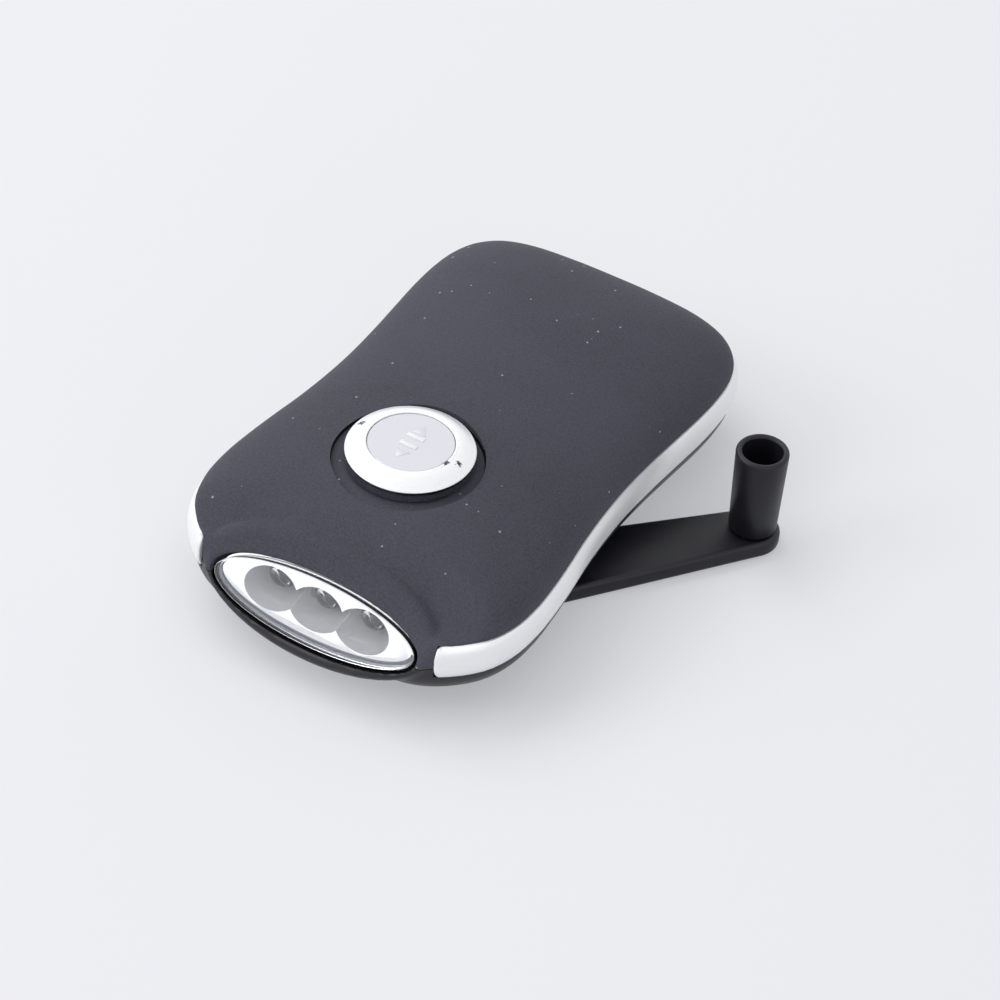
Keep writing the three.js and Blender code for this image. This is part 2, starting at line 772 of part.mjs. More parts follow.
// Gears: teeth are short straight-sided ones with backlash
function toothedShape(teeth, size, boreRadius, boreSides) {
  const pitch = (teeth * size) / 2;
  const tip = pitch + size * addendumShare;
  const root = pitch - size * dedendumShare;
  const half = (halfTurn * size * (1 - backlashShare)) / 4;
  const tipHalf = (half - size * addendumShare * flankSlopeShare) / pitch;
  const rootHalf = (half + size * dedendumShare * flankSlopeShare) / pitch;
  const shape = new THREE.Shape();
  for (let i = 0; i < teeth; i += 1) {
    const turn = (i / teeth) * halfTurn * 2;
    const corners = [[root, -rootHalf], [tip, -tipHalf], [tip, tipHalf], [root, rootHalf]];
    corners.forEach(([radius, side], k) => {
      const x = radius * Math.cos(turn + side);
      const y = radius * Math.sin(turn + side);
      if (i + k === 0) shape.moveTo(x, y);
      else shape.lineTo(x, y);
    });
  }
  shape.closePath();
  shape.holes.push(polygon(boreRadius, boreSides, THREE.Path));
  return shape;
}

// Where the shafts stand, and how each gear is turned so that it meshes with the one before it
function alongFrom([x, y], distance, degrees) {
  return [x + distance * Math.cos(radians(degrees)), y + distance * Math.sin(radians(degrees))];
}

function meshedPhase(phase, teeth, nextTeeth, degrees) {
  const bearing = radians(degrees);
  return bearing + halfTurn + halfTurn / nextTeeth - ((phase - bearing) * teeth) / nextTeeth;
}

const idlerOneAt = alongFrom([0, 0], ((driveTeeth + pinionTeeth) * driveModule) / 2, bearingOneDeg);
const idlerTwoAt = alongFrom(idlerOneAt, ((idlerOneTeeth + pinionTeeth) * idlerOneModule) / 2, bearingTwoDeg);
const rotorAt = alongFrom(idlerTwoAt, ((idlerTwoTeeth + pinionTeeth) * idlerTwoModule) / 2, bearingThreeDeg);
const idlerOnePhase = meshedPhase(0, driveTeeth, pinionTeeth, bearingOneDeg);
const idlerTwoPhase = meshedPhase(idlerOnePhase, idlerOneTeeth, pinionTeeth, bearingTwoDeg);
const rotorPhase = meshedPhase(idlerTwoPhase, idlerTwoTeeth, pinionTeeth, bearingThreeDeg);

function idlers() {
  const foot = floorZ - wall / 2;
  return [
    { x: idlerOneAt[0], y: idlerOneAt[1], floor: driveLow - gap, footLow: foot },
    { x: idlerTwoAt[0], y: idlerTwoAt[1], floor: wheelTwoLow - pinionSpare - gap, footLow: foot },
    { x: rotorAt[0], y: rotorAt[1], floor: wheelThreeLow - pinionSpare - gap, footLow: foot },
  ];
}

function driveGear() {
  return prism(toothedShape(driveTeeth, driveModule, hubHex + seam, hexSides), driveLow, driveTop);
}

function idler(size, wheelTeeth, wheelSize, low, wheelLow) {
  const bore = idlerShaftRadius + runGap;
  const pinion = prism(toothedShape(pinionTeeth, size, bore, shaftSides), low, wheelLow + wheelThickness / 2);
  const wheel = prism(toothedShape(wheelTeeth, wheelSize, bore, shaftSides), wheelLow,
    wheelLow + wheelThickness);
  const high = wheelLow + wheelThickness / 2;
  const hub = rod(idlerHubRadius, high, plateLow - gap).subtract(rod(bore, 0, plateTop, 0, 0, shaftSides));
  return pinion.add(wheel).add(hub);
}

function rotorPinion() {
  const low = wheelThreeLow - pinionSpare;
  return prism(toothedShape(pinionTeeth, idlerTwoModule, idlerShaftRadius + seam / 2, shaftSides), low,
    wheelThreeLow + wheelThickness + pinionSpare);
}

// Gearbox plate over the train
function gearboxPlate() {
  const shape = new THREE.Shape();
  const c = plateCorner;
  const w = plateHalfWidth;
  shape.absarc(w - c, plateFront + c, c, -quarter, 0, false);
  shape.absarc(w - c, plateRear - c, c, 0, quarter, false);
  shape.absarc(c - w, plateRear - c, c, quarter, halfTurn, false);
  shape.absarc(c - w, plateFront + c, c, halfTurn, halfTurn + quarter, false);
  shape.closePath();
  let plate = prism(shape, plateLow, plateTop, bottomSteps);
  const hole = (radius, [x, y]) => rod(radius, plateLow - overrun, plateTop + overrun, x, y);
  plate = plate.subtract(hole(shaftRadius + runGap, [0, 0]));
  for (const { x, y } of idlers()) plate = plate.subtract(hole(idlerShaftRadius + runGap, [x, y]));
  for (const place of postPlaces()) plate = plate.subtract(hole(screwRadius + seam, place));
  return plate;
}

// Generator: a ring magnet turns inside a coil in a steel frame, under a bracket
const statorLow = plateTop + gap;
const statorTop = statorLow + statorWall * 2 + magnetHeight;
const bracketLow = statorTop + gap;
const bracketTop = bracketLow + bracketThickness;
const rotorTop = bracketTop + rotorShaftTop;

function ring(profile) {
  const points = [...profile, profile[0]].map(([radius, level]) => new THREE.Vector2(radius, level));
  const geometry = new THREE.LatheGeometry(points, roundSides);
  geometry.rotateX(quarter);
  return solidOf(geometry).translate([rotorAt[0], rotorAt[1], 0]);
}

function statorFrame() {
  const outer = coilOuter + gap + statorWall;
  return ring([
    [statorInner, statorLow],
    [outer, statorLow],
    [outer, statorTop],
    [statorInner, statorTop],
    [statorInner, statorTop - statorWall],
    [coilOuter + gap, statorTop - statorWall],
    [coilOuter + gap, statorLow + statorWall],
    [statorInner, statorLow + statorWall],
  ]);
}

function statorCoil() {
  const low = statorLow + statorWall + gap;
  const high = statorTop - statorWall - gap;
  return ring([[coilInner, low], [coilOuter, low], [coilOuter, high], [coilInner, high]]);
}

function rotorMagnet() {
  const low = statorLow + statorWall;
  return rod(magnetRadius, low, low + magnetHeight, 0, 0, roundSides)
    .subtract(rod(idlerShaftRadius + seam / 2, 0, rotorTop, 0, 0, shaftSides));
}

function generatorBracket() {
  const x = coilOuter + statorWall + bracketSpare;
  const half = bracketWidth / 2;
  const strip = block(-x - half, -half, bracketLow, x + half, half, bracketTop);
  const legs = [-1, 1].map((side) => {
    const inner = side * (x - bracketThickness);
    const outer = side * x;
    return block(Math.min(inner, outer), -half, plateTop + seam, Math.max(inner, outer), half, bracketTop);
  });
  const hole = rod(idlerShaftRadius + runGap, 0, rotorTop);
  return legs.reduce((solid, leg) => solid.add(leg), strip).subtract(hole).translate([...rotorAt, 0]);
}

// Crank: everything here is made along +X from the crank axis and turned to the arm's angle
const crank = new THREE.Group();
crank.rotation.z = radians(armAngle);
flashlight.add(crank);

function acrossRod(radius, half, sides = smallSides) {
  return rod(radius, -half, half, 0, 0, sides).rotate([90, 0, 0]).translate([-pinBack, 0, pinZ]);
}

function crankHub() {
  const hubLow = bottomZ;
  const hubTop = hubLow + hubDepth;
  const ear = block(-pinBack - earRadius, -earWidth / 2, pinZ, -pinBack + earRadius, earWidth / 2,
    hubLow + hubDepth / 2);
  const hex = prism(polygon(hubHex, hexSides, THREE.Shape), hubTop - hubDepth / 2, driveTop);
  return rod(hubRadius, hubLow, hubTop, 0, 0, roundSides)
    .add(hex.rotate([0, 0, -armAngle]))
    .add(rod(shaftRadius, driveTop - wheelThickness / 2, plateTop))
    .add(ear)
    .add(acrossRod(earRadius, earWidth / 2))
    .subtract(acrossRod(pinRadius + runGap, armHubWidth));
}

function hubSpacer() {
  return rod(spacerRadius, driveTop + gap, plateLow - gap)
    .subtract(rod(shaftRadius + runGap, 0, plateTop));
}

function foldPin() {
  return acrossRod(pinRadius, armHubWidth / 2 - armEdge - runGap);
}

function crankArm() {
  const half = armHubWidth / 2 - armEdge;
  const end = armEndRadius - armEdge;
  const shape = new THREE.Shape();
  const lean = Math.asin((half - end) / (armReach - armHubLength));
  shape.moveTo(-pinBack, -half);
  shape.lineTo(armHubLength, -half);
  shape.absarc(armReach, 0, end, -quarter + lean, quarter - lean, false);
  shape.lineTo(armHubLength, half);
  shape.lineTo(-pinBack, half);
  shape.closePath();
  const options = {
    depth: armThickness - armEdge * 2,
    bevelThickness: armEdge,
    bevelSize: armEdge,
    bevelSegments: 2,
    curveSegments: smallSides,
  };
  const geometry = new THREE.ExtrudeGeometry(shape, options);
  geometry.translate(0, 0, armEdge);
  const wide = armHubWidth;
  const heel = block(-pinBack - wide, -wide, -overrun, -pinBack, wide, armThickness + overrun);
  const notchFront = earRadius + gap * 2;
  const notchHalf = earWidth / 2 + gap;
  const notch = block(-pinBack - wide, -notchHalf, -overrun, -pinBack + notchFront, notchHalf,
    armThickness + overrun);
  return solidOf(geometry)
    .subtract(heel)
    .add(acrossRod(pinZ, armHubWidth / 2 - armEdge))
    .subtract(notch)
    .subtract(acrossRod(pinRadius + runGap, armHubWidth))
    .subtract(rod(knobScrewRadius + runGap, knobScrewFoot, armThickness + overrun, armReach, 0));
}

const knobLow = armThickness + gap;
const knobTop = knobLow + knobHeight;
const webTop = knobLow + knobWeb;

function crankKnob() {
  const profile = [
    [0, knobLow],
    [knobBaseRadius, knobLow],
    [knobTopRadius, knobTop - knobLip],
    [knobTopRadius - knobLip, knobTop],
    [knobBore, knobTop],
    [knobBore, webTop],
    [0, webTop],
  ];
  return turned(profile).subtract(rod(knobScrewRadius + runGap, 0, knobTop)).translate([armReach, 0, 0]);
}

function knobScrew() {
  const headLow = webTop + gap;
  const slot = screwRadius / 2;
  const head = rod(knobScrewHead, headLow, headLow + knobScrewHeadHeight);
  const slotLow = headLow + knobScrewHeadHeight / 2;
  const cross = block(-knobScrewHead, -slot / 2, slotLow, knobScrewHead, slot / 2, knobTop);
  return rod(knobScrewRadius, knobScrewFoot + seam, slotLow)
    .add(head)
    .subtract(cross)
    .translate([armReach, 0, 0]);
}

// A screw whose head seats at a level and whose shank runs up, 1, or down, -1, from there
function screw([x, y], seat, length, direction) {
  const levels = (radius, from, to) => rod(radius, Math.min(from, to), Math.max(from, to), x, y);
  const under = seat - direction * seam;
  const head = levels(screwHeadRadius, under, under - direction * screwHeadHeight);
  return levels(screwRadius, under - (direction * screwHeadHeight) / 2, seat + direction * length).add(head);
}

// Battery
function alongX(radius, half, sides) {
  return rod(radius, -half, half, 0, 0, sides).rotate([0, 90, 0]);
}

function batteryCell(i) {
  const x = (i - (cellCount - 1) / 2) * (cellLength + cellGap);
  return alongX(cellRadius, cellLength / 2, roundSides).translate([x, batteryY, batteryZ]);
}

function batteryWrap() {
  const inner = cellRadius + seam;
  return alongX(batteryRadius, batteryHalf, roundSides)
    .subtract(alongX(inner, batteryHalf + overrun, roundSides))
    .translate([0, batteryY, batteryZ]);
}

function mainBoard() {
  let board = block(-mainBoardHalf, mainBoardFront, mainBoardZ, mainBoardHalf, mainBoardRear, mainBoardTop);
  for (const [x, y] of boardScrewPlaces()) {
    board = board.subtract(rod(screwRadius + seam, 0, crownZ, x, y));
  }
  return board;
}

// Wires inside: round tubes on smooth curves that end a gap short of what they join
function wire(points) {
  const path = new THREE.CatmullRomCurve3(points.map(([x, y, z]) => new THREE.Vector3(x, y, z)));
  const options = { steps: wireSteps, extrudePath: path, curveSegments: wireSides };
  return solidOf(new THREE.ExtrudeGeometry(polygon(wireRadius, wireSides, THREE.Shape), options));
}

// From a battery end, up past the generator, to the main board's rear edge
function batteryWire(side) {
  const start = batteryHalf + gap;
  const outside = plateHalfWidth - wireRadius;
  const aboveScrews = plateTop + screwHeadHeight + wireRadius + gap * 2;
  return wire([
    [side * start, batteryY, batteryZ],
    [side * (start + wireRadius * 4), batteryY, batteryZ],
    [side * (outside - wireRadius * 2), batteryY - wireRadius * 5, (batteryZ + aboveScrews) / 2],
    [side * outside, postRearY + postRadius, aboveScrews],
    [side * outside, rotorAt[1], aboveScrews],
    [side * outside, mainBoardRear + wireRadius * 8, aboveScrews],
    [side * boardBossX, mainBoardRear + wireRadius * 3, boardMiddleZ],
    [side * boardBossX, mainBoardRear + gap, boardMiddleZ],
  ]);
}

// From the LED board's upper edge over and behind it to the main board's front edge
function ledWire(side) {
  const x = side * (ledBoardHalf - wireRadius * 4);
  const z = lensCentreZ + ledBoardAbove + wireRadius + seam;
  const behind = ledBoardFront + boardThickness + wireRadius + seam;
  return wire([
    [x, ledBoardFront + boardThickness / 2, z],
    [x, behind, z],
    [x, behind + gap, (z + boardMiddleZ) / 2],
    [x, mainBoardFront - gap, boardMiddleZ],
  ]);
}

// From the coil's frame to the main board's rear edge
function generatorWire() {
  const start = coilOuter + statorWall + gap * 2;
  const [x0, y0] = alongFrom(rotorAt, start, generatorWireDeg);
  const [x1, y1] = alongFrom(rotorAt, start + wireRadius * 4, generatorWireDeg);
  return wire([
    [x0, y0, statorLow + magnetHeight / 2],
    [x1, y1, boardMiddleZ],
    [x1, mainBoardRear + wireRadius * 3, boardMiddleZ],
    [x1, mainBoardRear + gap, boardMiddleZ],
  ]);
}

// Covers, band and nose
place("top_cover", topCover(), rubber);
place("bottom_cover", bottomCover(), blackPlastic);
place("side_band", sideBand(), silver);
place("lens", lens(), clearPlastic);
place("reflector", reflector(), chrome);
cupPlaces().forEach((x, i) => place(`led_${i + 1}`, led(x), clearPlastic));
place("led_board", ledBoard(), greenBoard);

// Switch
place("switch_button", roundButton(), silver);
place("switch_disc", switchDisc(), satin);
place("switch_retainer", switchRetainer(), blackPlastic);
place("switch_lever", switchLever(), whiteNylon);
place("switch_case", switchCase(), steel);
place("main_board", mainBoard(), greenBoard);

// Crank
place("crank_hub", crankHub(), blackPlastic, crank);
place("hub_spacer", hubSpacer(), whiteNylon, crank);
place("fold_pin", foldPin(), steel, crank);
place("crank_arm", crankArm(), blackPlastic, crank);
place("crank_knob", crankKnob(), blackPlastic, crank);
place("knob_screw", knobScrew(), steel, crank);

// Gear train
function placeTurned(name, solid, finish, [x, y], phase) {
  const mesh = place(name, solid, finish);
  mesh.position.set(x, y, 0);
  mesh.rotation.z = phase;
}

const pinionTwoLow = wheelTwoLow - pinionSpare;
const idlerOne = idler(driveModule, idlerOneTeeth, idlerOneModule, driveLow, wheelTwoLow);
const idlerTwo = idler(idlerOneModule, idlerTwoTeeth, idlerTwoModule, pinionTwoLow, wheelThreeLow);
placeTurned("drive_gear", driveGear(), whiteNylon, [0, 0], 0);
placeTurned("idler_gear_1", idlerOne, whiteNylon, idlerOneAt, idlerOnePhase);
placeTurned("idler_gear_2", idlerTwo, whiteNylon, idlerTwoAt, idlerTwoPhase);
placeTurned("rotor_pinion", rotorPinion(), brass, rotorAt, rotorPhase);
placeTurned("rotor_magnet", rotorMagnet(), ferrite, rotorAt, rotorPhase);

idlers().forEach(({ x, y, footLow }, i) => {
  const names = ["idler_shaft_1", "idler_shaft_2", "rotor_shaft"];
  const high = names[i] === "rotor_shaft" ? rotorTop : plateTop;
  place(names[i], rod(idlerShaftRadius, footLow + seam, high, x, y, shaftSides), steel);
});
place("gearbox_plate", gearboxPlate(), blackPlastic);
place("stator_frame", statorFrame(), steel);
place("stator_coil", statorCoil(), copper);
place("generator_bracket", generatorBracket(), steel);

// Battery and wires
for (let i = 0; i < cellCount; i += 1) place(`battery_cell_${i + 1}`, batteryCell(i), cellSteel);
place("battery_wrap", batteryWrap(), greenWrap);
place("battery_wire_red", batteryWire(1), redWire);
place("battery_wire_black", batteryWire(-1), blackWire);
place("led_wire_red", ledWire(1), redWire);
place("led_wire_black", ledWire(-1), blackWire);
place("generator_wire", generatorWire(), redWire);

// Screws
function placeScrews(name, places, seat, length, direction) {
  places.forEach((at, i) => place(`${name}_${i + 1}`, screw(at, seat, length, direction), steel));
}

placeScrews("case_screw", caseScrewPlaces(), shoulderZ, caseScrewLength, 1);
placeScrews("plate_screw", postPlaces(), plateTop, plateScrewLength, -1);
placeScrews("board_screw", boardScrewPlaces(), mainBoardZ, boardScrewLength, 1);

export default flashlight;
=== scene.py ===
# Hand crank flashlight: its visible surfaces, its finishes and the table-top scene
import json
import math

import bmesh
import bpy
from mathutils import Matrix, Vector


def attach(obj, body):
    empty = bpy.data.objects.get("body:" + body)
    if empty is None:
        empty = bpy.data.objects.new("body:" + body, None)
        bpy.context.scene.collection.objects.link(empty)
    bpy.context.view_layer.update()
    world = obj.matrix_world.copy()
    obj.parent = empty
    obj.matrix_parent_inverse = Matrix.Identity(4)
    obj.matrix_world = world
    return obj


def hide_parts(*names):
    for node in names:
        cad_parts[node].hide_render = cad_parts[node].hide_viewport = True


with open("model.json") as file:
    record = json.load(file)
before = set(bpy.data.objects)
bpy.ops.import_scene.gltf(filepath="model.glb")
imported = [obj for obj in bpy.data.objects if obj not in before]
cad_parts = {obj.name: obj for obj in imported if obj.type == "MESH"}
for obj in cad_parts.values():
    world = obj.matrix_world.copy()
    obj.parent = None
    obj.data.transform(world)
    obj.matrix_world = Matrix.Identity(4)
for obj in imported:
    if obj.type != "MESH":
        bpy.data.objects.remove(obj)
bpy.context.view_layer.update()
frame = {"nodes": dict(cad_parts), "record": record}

MM = 0.001
QUARTER = math.pi / 2
FULL = math.pi * 2

# Camera, in metres and degrees
CAMERA_PLACE = (0.22138, -0.37071, 0.40778)
CAMERA_AZIMUTH = 28.203
CAMERA_ELEVATION = 41.516
CAMERA_ROLL = 4.771
CAMERA_LENS = 133.2  # mm
CAMERA_SENSOR = 36  # mm wide

# Table, world and softboxes
TABLE_REACH = 1500  # mm
TABLE_GLOW = 0.355
WORLD_LIGHT = 0.55
WORLD_SEEN = 0.94
WORLD_MIRRORED = 0.75
LIT_PLACE = (0, 0.03, 0.012)  # metres
SOFTBOXES = {  # place and size in metres, power in watts
    "overhead_softbox": ((-1.1, 0.25, 1.35), (1.5, 1.1), 10),
    "left_softbox": ((-1.2, -0.95, 0.95), (1, 0.8), 9),
    "right_softbox": ((1.3, -0.8, 0.6), (1.2, 0.8), 2),
}

# Body. Sizes from here on are in millimetres
HALF_WIDTH = 30
FRONT_REACH = 18
REAR_REACH = 79.2
BOTTOM = 3.4
BAND_LOW = 9.3
BAND_TOP = 15.5
CROWN = 26
WALL = 1.6
SPINE_FRONT = 12  # the ridge that the dome closes on runs from here
SPINE_REAR = 50
DOME_POWER = 1.85
DOME_LEDGE = 0.25
DOME_TOP_TURN = 89  # degrees, so that its last ring isn't a line
DOME_STEPS = 30
BOTTOM_STEPS = 12
BOTTOM_ROUND = 8
HOLLOW_ROUND = 4
SPLIT = 11
SEAM = 0.15
BAND_SEAT = 1.2
BAND_BULGE = 0.8
TONGUE = 1.3
BAND_GAP = 0.06
BAND_FULLNESS = 2.6
BAND_LINE = 0.05
BAND_END_ROUND = 0.7
CLEARANCE = 0.3
OVERRUN = 2
ABOVE_ALL = 30
NEAR = 0.001  # two places closer than this are one
OUTLINE_SHARES = [
    (0, 0), (0.333, 0.003), (0.585, 0.011), (0.747, 0.035), (0.913, 0.088), (0.983, 0.144), (1, 0.206),
    (0.989, 0.267), (0.967, 0.329), (0.94, 0.391), (0.92, 0.463), (0.912, 0.535), (0.92, 0.617),
    (0.938, 0.7), (0.953, 0.772), (0.953, 0.833), (0.933, 0.885), (0.873, 0.932), (0.76, 0.967),
    (0.583, 0.988), (0.3, 0.998), (0, 1),
]
OUTLINE_COUNT = 160
SPAN_STEPS = 24
SKIN_VOXEL = 0.4
SKIN_PASSES = 3
CREASE_REACH = 0.9  # behind the nose's face
CREASE_CLEAR = 2  # round the lens, where nothing is softened
CREASE_PASSES = 2

# Nose, lens, reflector and LEDs
FACE_TILT = 30
LENS_CENTRE = (0, -16.5, 12)
LENS_HALF_WIDTH = 18.5
LENS_HALF_HEIGHT = 5.3
LENS_ABOVE = 5.5
OPENING_HALF = 19.1
OPENING_ABOVE = 6.3
OPENING_BELOW = 5.85
LENS_THICKNESS = 1.4
LENS_BEVEL = 0.3
LENS_SIDE_FACING = 0.05
SEAT_DEPTH = 2.4
FLANGE_THICKNESS = 0.6
FLANGE_FRONT = (17.5, 5.3, 3.9)  # half width, above and below
FLANGE_GAP = 0.1
FLANGE_BEAD = 0.35
FLANGE_LIP = 0.1
FLANGE_GROOVE = 0.45
LENS_INSET = 0.3
LENS_GAP = 0.3
REFLECTOR_GAP = 0.05
NOSE_HALF = 21.6
NOSE_ABOVE = 12.2
NOSE_BELOW = 7.9
NOSE_ROUND = 1.6
BROW_FALL = 1.2  # how far the dome falls to the nose in the middle
SHOULDER_FALL = 2.6  # and how much more at its sides
SHOULDER_REACH = 5.6
SHOULDER_HALF = 17
SHOULDER_LEAST = 0.15
COLLAR_DEPTH = 5
COLLAR_BACK_HALF = 20.5
COLLAR_BACK_BELOW = 3.5
COLLAR_BACK_FALL = 1
NOSE_WALL_FRONT = 3
BAR_FRONT_Y = -30
FRONT_ROOM = 40
OVAL_COUNT = 128
REFLECTOR_BACK = -6.9
CUP_PITCH = 8.5
CUP_MOUTH_HALF = 5
CUP_MOUTH_HIGH = 2.9
CUP_MOUTH_DROP = 0.42
CUP_THROAT = 2.75
CUP_STEPS = 12
CUP_OVERRUN_STEPS = 9
CUP_FLARE = 0.45
CUP_RIM = 0.05  # beyond the mouth's ends, still a cup's finish
CUP_BROW = 0.45  # the same above and below it
CUP_FACING_MOST = 0.98  # cosine to the lens's direction
GROOVE_FACING = (0.3, 0.999)
RIDGE_ROUND = 0.16
RIDGE_NEAREST = 2  # to the middle
RIDGE_DEPTH = 1
RIDGE_TURN_LEAST = 0.3  # radians
LED_BACK = -5.6
LED_RADIUS = 2.5
LED_LENGTH = 7.4
LED_FLANGE = 2.8
LED_FLANGE_THICKNESS = 1
LED_ANVIL = ((-1.2, -0.3, 0.6), (0.3, 0.3, 3.4))
LED_POST = ((0.7, -0.25, 0.6), (1.3, 0.25, 3.3))
LED_POST_EDGE = 0.08
LED_CUP_X = -0.4
LED_CUP = ((0, 3.3), (0.55, 3.3), (0.85, 4.1), (0.75, 4.1), (0.45, 3.5), (0, 3.5))
LED_CHIP = ((0, 3.5), (0.42, 3.5), (0.6, 3.85), (0, 3.95))

# Switch
SWITCH_Y = 11
BUTTON_RADIUS = 10.5
BUTTON_TOP = 28.1
BUTTON_FALL = 1.3
BUTTON_LOW = 24.5
BUTTON_FOOT_EDGE = 0.3
BUTTON_EDGE_ROUND = 0.4
BUTTON_EDGE_DROP = 0.45
BUTTON_SIDE_TOP = 0.3
BUTTON_SIDE_LEAN = 0.35
BUTTON_CROWN_DROP = 0.06
BUTTON_CROWN_POWER = 1.5
BUTTON_LIP_WIDTH = 0.62
BUTTON_LIP_GROOVE = (0.55, 0.45, 0.12)  # outer and inner reach from the seat, and depth
BUTTON_LIP_TOP = (0.38, 0.1)  # outer and inner reach from the seat
BUTTON_LIP_EDGE = 0.1
RECESS_Y = 10.4
RECESS_RADIUS = 12.3
RECESS_FLOOR = 24.2
RECESS_CORNER = 0.3
RECESS_FLARE = 0.6
RECESS_FLARE_BELOW = 1.1
RECESS_WALL = 1.5
RECESS_WALL_ZONE = (0.15, 0.2)  # middle inside the radius, and half width
RECESS_WALL_FOOT = 0.1
RECESS_WALL_LEAN = 0.9
DISC_RADIUS = 7
DISC_SINK = 0.15
DISC_DEPTH = 1
DISC_EDGE = 0.12
DISC_GAP = 0.08
DISC_SEAT = 1.3
BAR_LENGTH = 3.1
BAR_WIDTH = 0.8
BAR_SPACING = 2.2
BARS_SHIFT = 0.35
ARROW_HALF = 1.3
ARROW_HEIGHT = 2
ARROW_PLACE = 2.3
ICON_RISE = 0.12
ARROW_RISE = 0.06
ICON_ROOT = 0.3
ICON_EDGE = 0.05
STEM_HALF = 2.5
STEM_LOW = 21.5
STEM_ROOT = 0.5
STEM_EDGE = 0.2
WORN_SPOTS = ((-9.2, 10.9, 27.4), (8.5, 11.2, 27.4), (7.1, 9.9, 28))
WORN_REACH = (0.3, 1.5)  # fully worn, not worn

# Crank
ARM_ANGLE = 50
ARM_REACH = 66.4
ARM_THICKNESS = 3.1
ARM_HUB_HALF = 8.5
ARM_HUB_LENGTH = 8
ARM_END_RADIUS = 4.7
ARM_ROUND = 0.9
ARM_HEEL_FLAT = 0.02
ARM_RIM_TURN = 0.9  # radians
ARM_RIM_START = 0.1
PIN_BACK = 6
EAR_HALF = 3
EAR_RADIUS = 1.25
EAR_ROOM = 0.6
EAR_ROOT = 0.8
HUB_RADIUS = 8
HUB_LOW = 3.4
HUB_TOP = 5.1
HUB_EDGE = 0.3
KNOB_LOW = 3.4
KNOB_TOP = 19.6
KNOB_TOP_RADIUS = 4.4
KNOB_BASE_RADIUS = 4
KNOB_BORE = 3.3
KNOB_WEB_TOP = 6.4
KNOB_FOOT_EDGE = 0.25
KNOB_WEB_EDGE = 0.4
KNOB_SCREW = (2.5, 1.4, 1.4, 5.5)  # head radius and height, shank radius and length

# Underside and inside
SCREW_X = 20.5
SCREW_FRONT_Y = 2
SCREW_REAR_Y = 65
SCREW_SEAT = 6
SCREW_HEAD_RADIUS = 2
SCREW_HEAD_HEIGHT = 1.3
SCREW_SHANK_RADIUS = 1.1
SCREW_LENGTH = 10
SCREW_GAP = 0.1
SCREW_TIP = 0.5
SCREW_TIP_SHARE = 0.7
HEAD_SHARES = ((1, 0), (1, 0.45), (0.86, 0.8), (0.5, 1), (0, 1))  # of the head's radius and height
CROSS_SHARES = (0.55, 0.12, 0.35)  # half length and half width of the radius, floor of the height
BOSS_RADIUS = 3
POCKET_HALF = 5.5
POCKET_EXTRA = 2
POCKET_TOP = 20.4
POCKET_WALL = 1.2
POCKET_FOOT = 4.9
POCKET_MOUTH = 4
POCKET_ROOF_GAP = 0.3
POCKET_BORE_GAP = 1.5
BOTTOM_CUT_TOP = 8


# Points and rings
def clamp(value, low, high):
    return max(low, min(high, value))


def outline_places():
    """The covers' outline at their parting line: evenly spaced, anticlockwise from the front middle."""
    length = FRONT_REACH + REAR_REACH
    right = [Vector((x * HALF_WIDTH, y * length - FRONT_REACH, 0)) for x, y in OUTLINE_SHARES]
    knots = right + [Vector((-p.x, p.y, 0)) for p in reversed(right[1:-1])]
    fine = []
    for i in range(len(knots)):
        before, here, after, beyond = (knots[(i + k - 1) % len(knots)] for k in range(4))
        spans = ((before, here), (here, after), (after, beyond))
        first, middle, last = ((q - p).length ** 0.5 for p, q in spans)
        leave = (here - before) / first - (after - before) / (first + middle) + (after - here) / middle
        arrive = (after - here) / middle - (beyond - here) / (middle + last) + (beyond - after) / last
        for k in range(SPAN_STEPS):
            t = k / SPAN_STEPS
            place = here.lerp(after, t * t * (3 - 2 * t))
            place += middle * (leave * t * (1 - t) ** 2 - arrive * t * t * (1 - t))
            fine.append(place)
    steps = [(fine[(i + 1) % len(fine)] - p).length for i, p in enumerate(fine)]
    spacing = sum(steps) / OUTLINE_COUNT
    places = []
    walked = 0
    for i, step in enumerate(steps):
        while len(places) < OUTLINE_COUNT and len(places) * spacing < walked + step:
            share = (len(places) * spacing - walked) / step
            places.append(fine[i].lerp(fine[(i + 1) % len(fine)], share))
        walked += step
    return places


OUTLINE = outline_places()


def inward(place, inset, level, share=0):
    """A point of the outline moved in towards the ridge by a length, then by a share of what is left."""
    ridge = Vector((0, clamp(place.y, SPINE_FRONT, SPINE_REAR), 0))
    edge = place + (ridge - place).normalized() * inset
    return Vector((*edge.lerp(ridge, share).xy, level))


def body_ring(inset, level, share=0):
    return [inward(place, inset, level, share) for place in OUTLINE]


def circle_ring(radius, level, count):
    turns = [FULL * i / count for i in range(count)]
    return [Vector((radius * math.cos(t), radius * math.sin(t), level)) for t in turns]


FACE = Matrix.Translation(LENS_CENTRE) @ Matrix.Rotation(math.radians(90 - FACE_TILT), 4, "X")


def oval(across, above, below, depth):
    """An oval on the nose's leaning face, at a depth along the face's own outward direction."""
    middle = (above - below) / 2
    half = (above + below) / 2
    turns = [FULL * i / OVAL_COUNT - QUARTER for i in range(OVAL_COUNT)]
    return [FACE @ Vector((across * math.cos(t), middle + half * math.sin(t), depth)) for t in turns]


def arc(centre, radius, start, end, steps):
    """Points of a profile on an arc, in degrees from the outward direction."""
    turns = [math.radians(start + (end - start) * i / steps) for i in range(steps + 1)]
    return [(centre[0] + radius * math.cos(t), centre[1] + radius * math.sin(t)) for t in turns]


